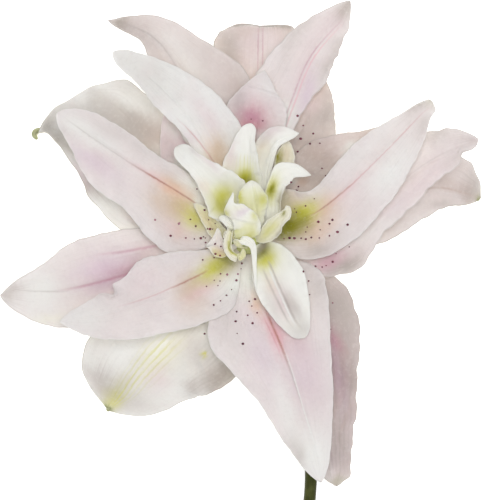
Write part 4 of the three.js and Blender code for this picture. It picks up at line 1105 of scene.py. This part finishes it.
def receptacle_piece():
    """The receptacle: a swollen, lobed stem end, whose skin looks paler with its wall inwards."""
    share = np.linspace(0, 1, RECEPTACLE_RINGS + 1)
    knots_at = np.linspace(0, 1, len(RECEPTACLE_PROFILE))
    radius, height = (np.interp(share, knots_at, knots) for knots in zip(*RECEPTACLE_PROFILE))
    angle = full_turn(RECEPTACLE_SIDES)
    lobed = radius[:, None] * (1 + LOBE_SHARE * np.cos(LOBES * angle))
    centre = height[:, None] * [0, 0, 1]
    side, run = (np.tile(way, (len(share), 1)) for way in ([1, 0, 0], [0, 0, 1]))
    pith = np.zeros(len(share))
    return tube_piece("lily_receptacle", centre, lobed, side, run, angle, height, pith, INWARDS)


def knob_piece(node, route, radius):
    """The swollen, hooked green tip of an outer tepal: a short blunt tube."""
    u = np.linspace(0, 1, KNOB_RINGS + 1)
    angle = full_turn(KNOB_SIDES)
    bulge = radius * np.sqrt(np.sin(np.pi * np.clip(u, 0.04, 0.96))) * (0.7 + 0.3 * u)
    lobed = np.pad(bulge, 1)[:, None] * (1 + KNOB_LOBE_SHARE * np.cos(KNOB_LOBES * angle))
    centre = along_knots(route, u)
    run = unit(np.gradient(centre, axis=0))
    side = unit(np.cross(run, [0.2, 0.3, 1.0]))
    centre, side, run = (np.pad(rows, ((1, 1), (0, 0)), "edge") for rows in (centre, side, run))
    length = np.pad(u * KNOB_STREAK_LENGTH, 1, "edge")
    return tube_piece(f"knob_{node}", centre, lobed, side, run, angle, length, 0 * length)


def spots_by_petal(petals):
    """Where each spot sits on the uppermost petal at its place seen face on."""
    trees = {}
    for node, petal in petals.items():
        vertices = [vertex.co for vertex in petal.data.vertices]
        trees[node] = BVHTree.FromPolygons(vertices, [face.vertices for face in petal.data.polygons])
    seats = {}
    for x, y in SPOTS:
        start = Vector((AXIS_X + x * MM, AXIS_Y + y * MM, SPOT_DROP))
        best = None
        for node, tree in trees.items():
            hit, normal, _, _ = tree.ray_cast(start, Vector((0, 0, -1)))
            if hit is not None and (best is None or hit.z > best[1].z):
                best = (node, hit, normal)
        if best:
            seats.setdefault(best[0], []).append(best[1:])
    return seats


def spots_piece(node, seats, seed):
    """Small raised domes on a petal's upper face."""
    chance = np.random.default_rng(seed)
    tilt = np.arange(SPOT_RINGS)[:, None] / SPOT_RINGS * np.pi / 2
    turn = full_turn(SPOT_SIDES)
    sunk = SPOT_FOOT * (tilt == 0)
    vertices = []
    faces = []
    for hit, normal in seats:
        centre = np.array([hit.x - AXIS_X, hit.y - AXIS_Y, hit.z - SURFACE_Z]) / MM
        up = np.array(normal)
        east = unit(np.cross([0, 1, 0], up))
        north = np.cross(up, east)
        reach = SPOT_RADIUS * chance.uniform(*SPOT_SPREAD) * np.cos(tilt)
        stretch = chance.uniform(*SPOT_STRETCH)
        height = SPOT_HEIGHT * chance.uniform(*SPOT_RISE)
        dome = centre + (np.cos(turn) * reach * stretch)[..., None] * east
        dome = dome + (np.sin(turn) * reach)[..., None] * north
        dome = dome + (height * np.sin(tilt) - sunk)[..., None] * up
        grid = wrapped(SPOT_RINGS, SPOT_SIDES, len(vertices))
        vertices += [*dome.reshape(-1, 3), centre + up * height]
        faces += quads(grid) + fan(grid[-1], len(vertices) - 1) + [grid[0, :0:-1].tolist()]
    return new_piece(f"spots_{node}", vertices, faces)


def paint(name):
    """Linear colour of a named colour."""
    shares = [value / 255 for value in COLOURS[name]]
    linear = [s / 12.92 if s <= 0.04045 else ((s + 0.055) / 1.055) ** 2.4 for s in shares]
    return (*linear, 1.0)


class Shader:
    """A material's nodes, made one call at a time; each call gives the new node's output."""

    def __init__(self, name):
        self.material = bpy.data.materials.new(name)
        self.material.use_nodes = True
        self.tree = self.material.node_tree
        self.surface = self.tree.nodes["Principled BSDF"]

    def feed(self, inputs, sources):
        """Links sockets, or sets them where the source is a plain value."""
        for key, source in sources.items():
            if isinstance(source, bpy.types.NodeSocket):
                self.tree.links.new(source, inputs[key])
            else:
                inputs[key].default_value = source

    def give(self, sources):
        """Links or sets sockets of the surface."""
        self.feed(self.surface.inputs, sources)

    def node(self, kind, output, sources, **settings):
        node = self.tree.nodes.new(kind)
        for key, value in settings.items():
            setattr(node, key, value)
        self.feed(node.inputs, sources)
        return node.outputs[output]

    def attribute(self, name):
        return self.node("ShaderNodeAttribute", "Fac", {}, attribute_name=name)

    def position(self):
        return self.node("ShaderNodeTexCoord", "Object", {})

    def vector(self, x, y, z):
        return self.node("ShaderNodeCombineXYZ", 0, {0: x, 1: y, 2: z})

    def noise(self, vector, scale, detail=2.0, roughness=0.5):
        sources = {"Vector": vector, "Scale": scale, "Detail": detail, "Roughness": roughness}
        return self.node("ShaderNodeTexNoise", "Fac", sources)

    def bump(self, height, strength):
        sources = {"Height": height, "Strength": strength, "Distance": GRAIN}
        self.give({"Normal": self.node("ShaderNodeBump", 0, sources)})

    def math(self, operation, a, b=0.0, clamp=False):
        return self.node("ShaderNodeMath", 0, {0: a, 1: b}, operation=operation, use_clamp=clamp)

    def minus(self, a, b):
        return self.math("SUBTRACT", a, b)

    def times(self, product, *others):
        for other in others:
            product = self.math("MULTIPLY", product, other)
        return product

    def plus(self, base, source, share):
        """The base with a share of the source added."""
        return self.math("ADD", base, self.times(source, share))

    def mix(self, factor, colour, other):
        """The colour mixed with another one, which may be a name."""
        if isinstance(other, str):
            other = paint(other)
        sources = {0: factor, 6: colour, 7: other}
        return self.node("ShaderNodeMix", 2, sources, data_type="RGBA", clamp_factor=True)

    def ramp(self, value, low, high, to_low=0.0, to_high=1.0, kind="SMOOTHSTEP"):
        """Level that goes from one value to another between two places."""
        sources = dict(enumerate((value, low, high, to_low, to_high)))
        return self.node("ShaderNodeMapRange", 0, sources, interpolation_type=kind)

    def bell(self, value, centre, spread):
        """Share that is one where the value is at the centre and falls off smoothly."""
        off = self.math("DIVIDE", self.minus(value, centre), spread)
        return self.math("EXPONENT", self.times(off, off, -1.0))


def petal_places(shader, seed):
    """The places on a sheet that a petal's material reads, and its soft clouds and fine mottle."""
    places = {key: shader.attribute(key) for key in ("along", "across", "margin", "inset", "reach")}
    blade = shader.vector(places["reach"], places["across"], float(seed))
    places["clouds"] = shader.minus(shader.noise(blade, CLOUD_SCALE, 3.0, 0.55), 0.5)
    places["mottle"] = shader.minus(shader.noise(blade, MOTTLE_SCALE, 3.0, 0.6), 0.5)
    places["papillae"] = shader.noise(blade, PAPILLA_SCALE, 2.0, 0.6)
    across = shader.times(places["margin"], VEINS_ACROSS)
    strand = shader.vector(across, shader.times(places["reach"], VEINS_ALONG), seed + 3.0)
    places["veins"] = shader.noise(strand, 1.0)
    return places


def washed(shader, colour, places, washes):
    """The colour after soft patches of other colours with uneven outlines: the sheet's own colours, and
    painted shade and painted light.
    """
    along = shader.plus(places["along"], places["clouds"], 0.1)
    along = shader.plus(along, shader.minus(places["veins"], 0.5), 0.05)
    side = shader.plus(places["across"], places["clouds"], 6.0)
    side = shader.plus(side, places["mottle"], 1.2)
    for wash, strength, centre, offset, spread, width in washes:
        factor = shader.times(shader.bell(along, centre, spread), shader.bell(side, offset, width), strength)
        colour = shader.mix(factor, colour, wash)
    return colour


def lined(shader, colour, places, lines):
    """The colour with fine lines along the sheet, such as its midrib."""
    for wash, strength, start, end, width, offset, end_offset in lines:
        begun = shader.ramp(places["along"], start - 0.05, start + 0.05)
        unended = shader.ramp(places["along"], end - 0.12, end + 0.06, 1.0, 0.0)
        centre = shader.ramp(places["along"], start, end, offset, end_offset, "LINEAR")
        centre = shader.plus(centre, places["mottle"], 0.5)
        line = shader.times(shader.bell(places["across"], centre, width), begun, unended)
        patchy = shader.times(shader.plus(0.85, places["clouds"], 1.2), strength)
        colour = shader.mix(shader.math("MULTIPLY", line, patchy, clamp=True), colour, wash)
    return colour


def fanned(shader, colour, places, fans):
    """The colour with bundles of fine lines that draw together towards the tip."""
    for wash, strength, middle, spread, count, start, end in fans:
        turn = shader.plus(shader.times(places["margin"], 2 * math.pi * count), places["clouds"], 9.0)
        stripes = shader.ramp(shader.math("COSINE", turn), -0.2, 1.0)
        band = shader.bell(places["margin"], middle, spread)
        begun = shader.ramp(places["along"], start, start + 0.2)
        unended = shader.ramp(places["along"], end - 0.03, end + 0.03, 1.0, 0.0)
        patchy = shader.ramp(places["veins"], 0.36, 0.6, 0.25, 1.0)
        colour = shader.mix(shader.times(stripes, band, begun, unended, patchy, strength), colour, wash)
    return colour


def petal_material(node, make, seed):
    """Translucent petal: a pale mottled body, washes of colour that include painted shade and painted light,
    fine veins and lines, and paler rims, which are grey painted shade on some sheets.
    """
    shader = Shader(f"{node}_petal")
    places = petal_places(shader, seed)
    mottling = make["mottling"]
    body, rim_colour, rim_strength = SKINS[node]
    cloudy = shader.ramp(places["clouds"], -0.1, 0.22, 0.0, CLOUD_SHARE)
    colour = shader.mix(cloudy, paint(body), make["clouds"])
    colour = washed(shader, colour, places, WASHES[node])
    vein = shader.ramp(places["veins"], 0.5, 0.75, 0.0, VEIN_SHARE * mottling)
    colour = shader.mix(vein, colour, "grey")
    colour = fanned(shader, colour, places, FANS.get(node, []))
    colour = lined(shader, colour, places, LINES.get(node, []))
    dim = shader.ramp(places["mottle"], 0.0, 0.25, 0.0, MOTTLE_SHARE * mottling)
    colour = shader.mix(dim, colour, "grey")
    bright = shader.ramp(places["mottle"], -0.22, 0.0, BRIGHT_SHARE * mottling, 0.0)
    colour = shader.mix(bright, colour, "white")
    # Rim: a paler margin on most sheets; a grey or shade rim is painted shade where the margin turns away
    rim = shader.ramp(places["inset"], 0.15, 0.6, rim_strength, 0.0)
    colour = shader.mix(rim, colour, rim_colour)
    back = shader.ramp(shader.attribute("upper"), 0.0, 1.0, 1.0, 0.0)
    back_keel = shader.times(shader.bell(places["across"], 0.0, BACK_KEEL_WIDTH), 0.5)
    back_colour = shader.mix(back_keel, paint("cream"), "yellow_green")
    colour = shader.mix(shader.times(back, BACK_SHARE), colour, back_colour)
    height = shader.plus(shader.plus(places["veins"], places["papillae"], 0.8), places["mottle"], 1.6)
    shader.bump(height, 0.15 + 0.15 * mottling)
    shader.give({
        "Base Color": colour,
        "Roughness": shader.ramp(places["papillae"], 0.3, 0.7, 0.44, 0.6),
        "Subsurface Weight": 0.4,
        "Subsurface Radius": (1.0, 0.95, 0.9),
        "Subsurface Scale": 0.0018,
        "Specular IOR Level": 0.3,
        "Sheen Weight": 0.05,
    })
    return shader.material


def spot_material():
    """Dark maroon raised spots: each is mottled, and here and there one is faded."""
    shader = Shader("spot_maroon")
    mottle = shader.noise(shader.position(), 900.0)
    colour = shader.mix(shader.ramp(mottle, 0.35, 0.7), paint("spot"), "spot_light")
    faded = shader.ramp(shader.noise(shader.position(), 130.0, 0.0), 0.6, 0.74, 0.0, 0.8)
    shader.give({"Base Color": shader.mix(faded, colour, "spot_faded"), "Roughness": 0.45})
    return shader.material


def green_material(name):
    """Green skin: lengthwise streaks, paler clouds and small pale flecks, and pith at a cut."""
    shader = Shader(name)
    around = shader.times(shader.attribute("around"), 14.0)
    streak_place = shader.vector(around, shader.times(shader.attribute("length"), 0.06), 2.0)
    streaks = shader.noise(streak_place, 1.0, 3.0, 0.6)
    colour = shader.mix(shader.ramp(streaks, 0.38, 0.66), paint(f"{name}_dark"), f"{name}_light")
    cloudy = shader.noise(shader.position(), 160.0, 3.0)
    colour = shader.mix(shader.ramp(cloudy, 0.5, 0.75, 0.0, 0.4), colour, f"{name}_pale")
    flecks = shader.noise(shader.position(), 1500.0, 1.0)
    colour = shader.mix(shader.ramp(flecks, 0.68, 0.76, 0.0, 0.5), colour, f"{name}_pale")
    pith = shader.attribute("pith")
    ring = shader.mix(shader.ramp(pith, 0.25, 0.9), paint("pith"), "bark")
    colour = shader.mix(shader.ramp(pith, 0.001, 0.02), colour, ring)
    shader.bump(shader.plus(streaks, flecks, 0.4), 0.4)
    shader.give({
        "Base Color": colour,
        "Roughness": shader.ramp(streaks, 0.3, 0.7, 0.45, 0.65),
        "Specular IOR Level": 0.2,
        "Subsurface Weight": 0.05,
        "Subsurface Scale": 0.001,
    })
    return shader.material


def finish_piece(piece, material, node=None):
    """Gives a piece its material and its body, and hides the part of the solid model that it takes the place
    of.
    """
    piece.data.materials.append(material)
    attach(piece, "root")
    if node:
        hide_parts(node)


def floor():
    """Pale table, swept up all round as a backdrop, that glows so that its shadows stay soft."""
    turns = np.linspace(0, np.pi / 2, SWEEP_STEPS + 1)
    reach = np.append(FLOOR_RADIUS - SWEEP_RADIUS, FLOOR_RADIUS + SWEEP_RADIUS * np.sin(turns))
    height = np.append(0, SWEEP_RADIUS * (1 - np.cos(turns)))
    around = full_turn(FLOOR_SIDES)
    corners = [(r * np.cos(a), r * np.sin(a), z) for r, z in zip(reach, height) for a in around]
    faces = quads(wrapped(len(reach), FLOOR_SIDES)[:, ::-1])
    piece = new_piece("floor", corners, [list(range(FLOOR_SIDES)), *faces])
    shader = Shader("pale_floor")
    cloud = shader.noise(shader.position(), 3.0)
    shader.give({
        "Base Color": shader.mix(cloud, paint("table"), "table_light"),
        "Roughness": 0.9,
        "Emission Color": (1, 1, 1, 1),
        "Emission Strength": FLOOR_GLOW,
    })
    piece.data.materials.append(shader.material)


def soft_light(name, place, size, power):
    """A square studio light that faces the bloom."""
    light = bpy.data.lights.new(name, "AREA")
    light.shape = "SQUARE"
    light.size = size
    light.energy = power
    lamp = bpy.data.objects.new(name, light)
    lamp.location = (AXIS_X + place[0], AXIS_Y + place[1], place[2])
    towards = Vector((AXIS_X, AXIS_Y, 0)) - lamp.location
    lamp.rotation_euler = towards.to_track_quat("-Z", "Y").to_euler()
    bpy.context.scene.collection.objects.link(lamp)


def studio():
    """Soft light all round, a stronger one from straight above, a weak fill and the camera."""
    world = bpy.data.worlds.new("studio")
    world.use_nodes = True
    sky = world.node_tree.nodes["Background"]
    sky.inputs["Color"].default_value = (1, 1, 1, 1)
    sky.inputs["Strength"].default_value = SKY_STRENGTH
    bpy.context.scene.world = world
    bpy.context.scene.view_settings.view_transform = "Standard"
    for name, (place, size, power) in LIGHTS.items():
        soft_light(name, place, size, power)
    lens = bpy.data.cameras.new("camera")
    lens.sensor_width = SENSOR
    lens.lens = SENSOR * (CAMERA_HEIGHT - FIELD_HEIGHT) / FIELD
    lens.clip_start = 0.05
    lens.clip_end = 20
    camera = bpy.data.objects.new("camera", lens)
    x, y = CAMERA_PLACE
    camera.location = (AXIS_X + x * MM, AXIS_Y + y * MM, SURFACE_Z + CAMERA_HEIGHT * MM)
    bpy.context.scene.collection.objects.link(camera)
    bpy.context.scene.camera = camera


petals = {}
for sheets, slot, make, first_seed in WHORLS:
    for seed, (node, sheet) in enumerate(sheets.items(), first_seed):
        petals[node] = sheet_piece(node, refined(node, sheet), make, PHASE_STEP * seed)
        finish_piece(petals[node], petal_material(node, make, seed), node)

maroon = spot_material()
for seed, (node, seats) in enumerate(spots_by_petal(petals).items(), SPOT_SEED):
    finish_piece(spots_piece(node, seats, seed), maroon)

finish_piece(stem_piece(), green_material("stem_skin"), "stem")
finish_piece(receptacle_piece(), green_material("receptacle_skin"), "receptacle")

green_tip = green_material("tip_green")
for node, (radius, route) in KNOBS.items():
    finish_piece(knob_piece(node, route, radius), green_tip)

floor()
studio()
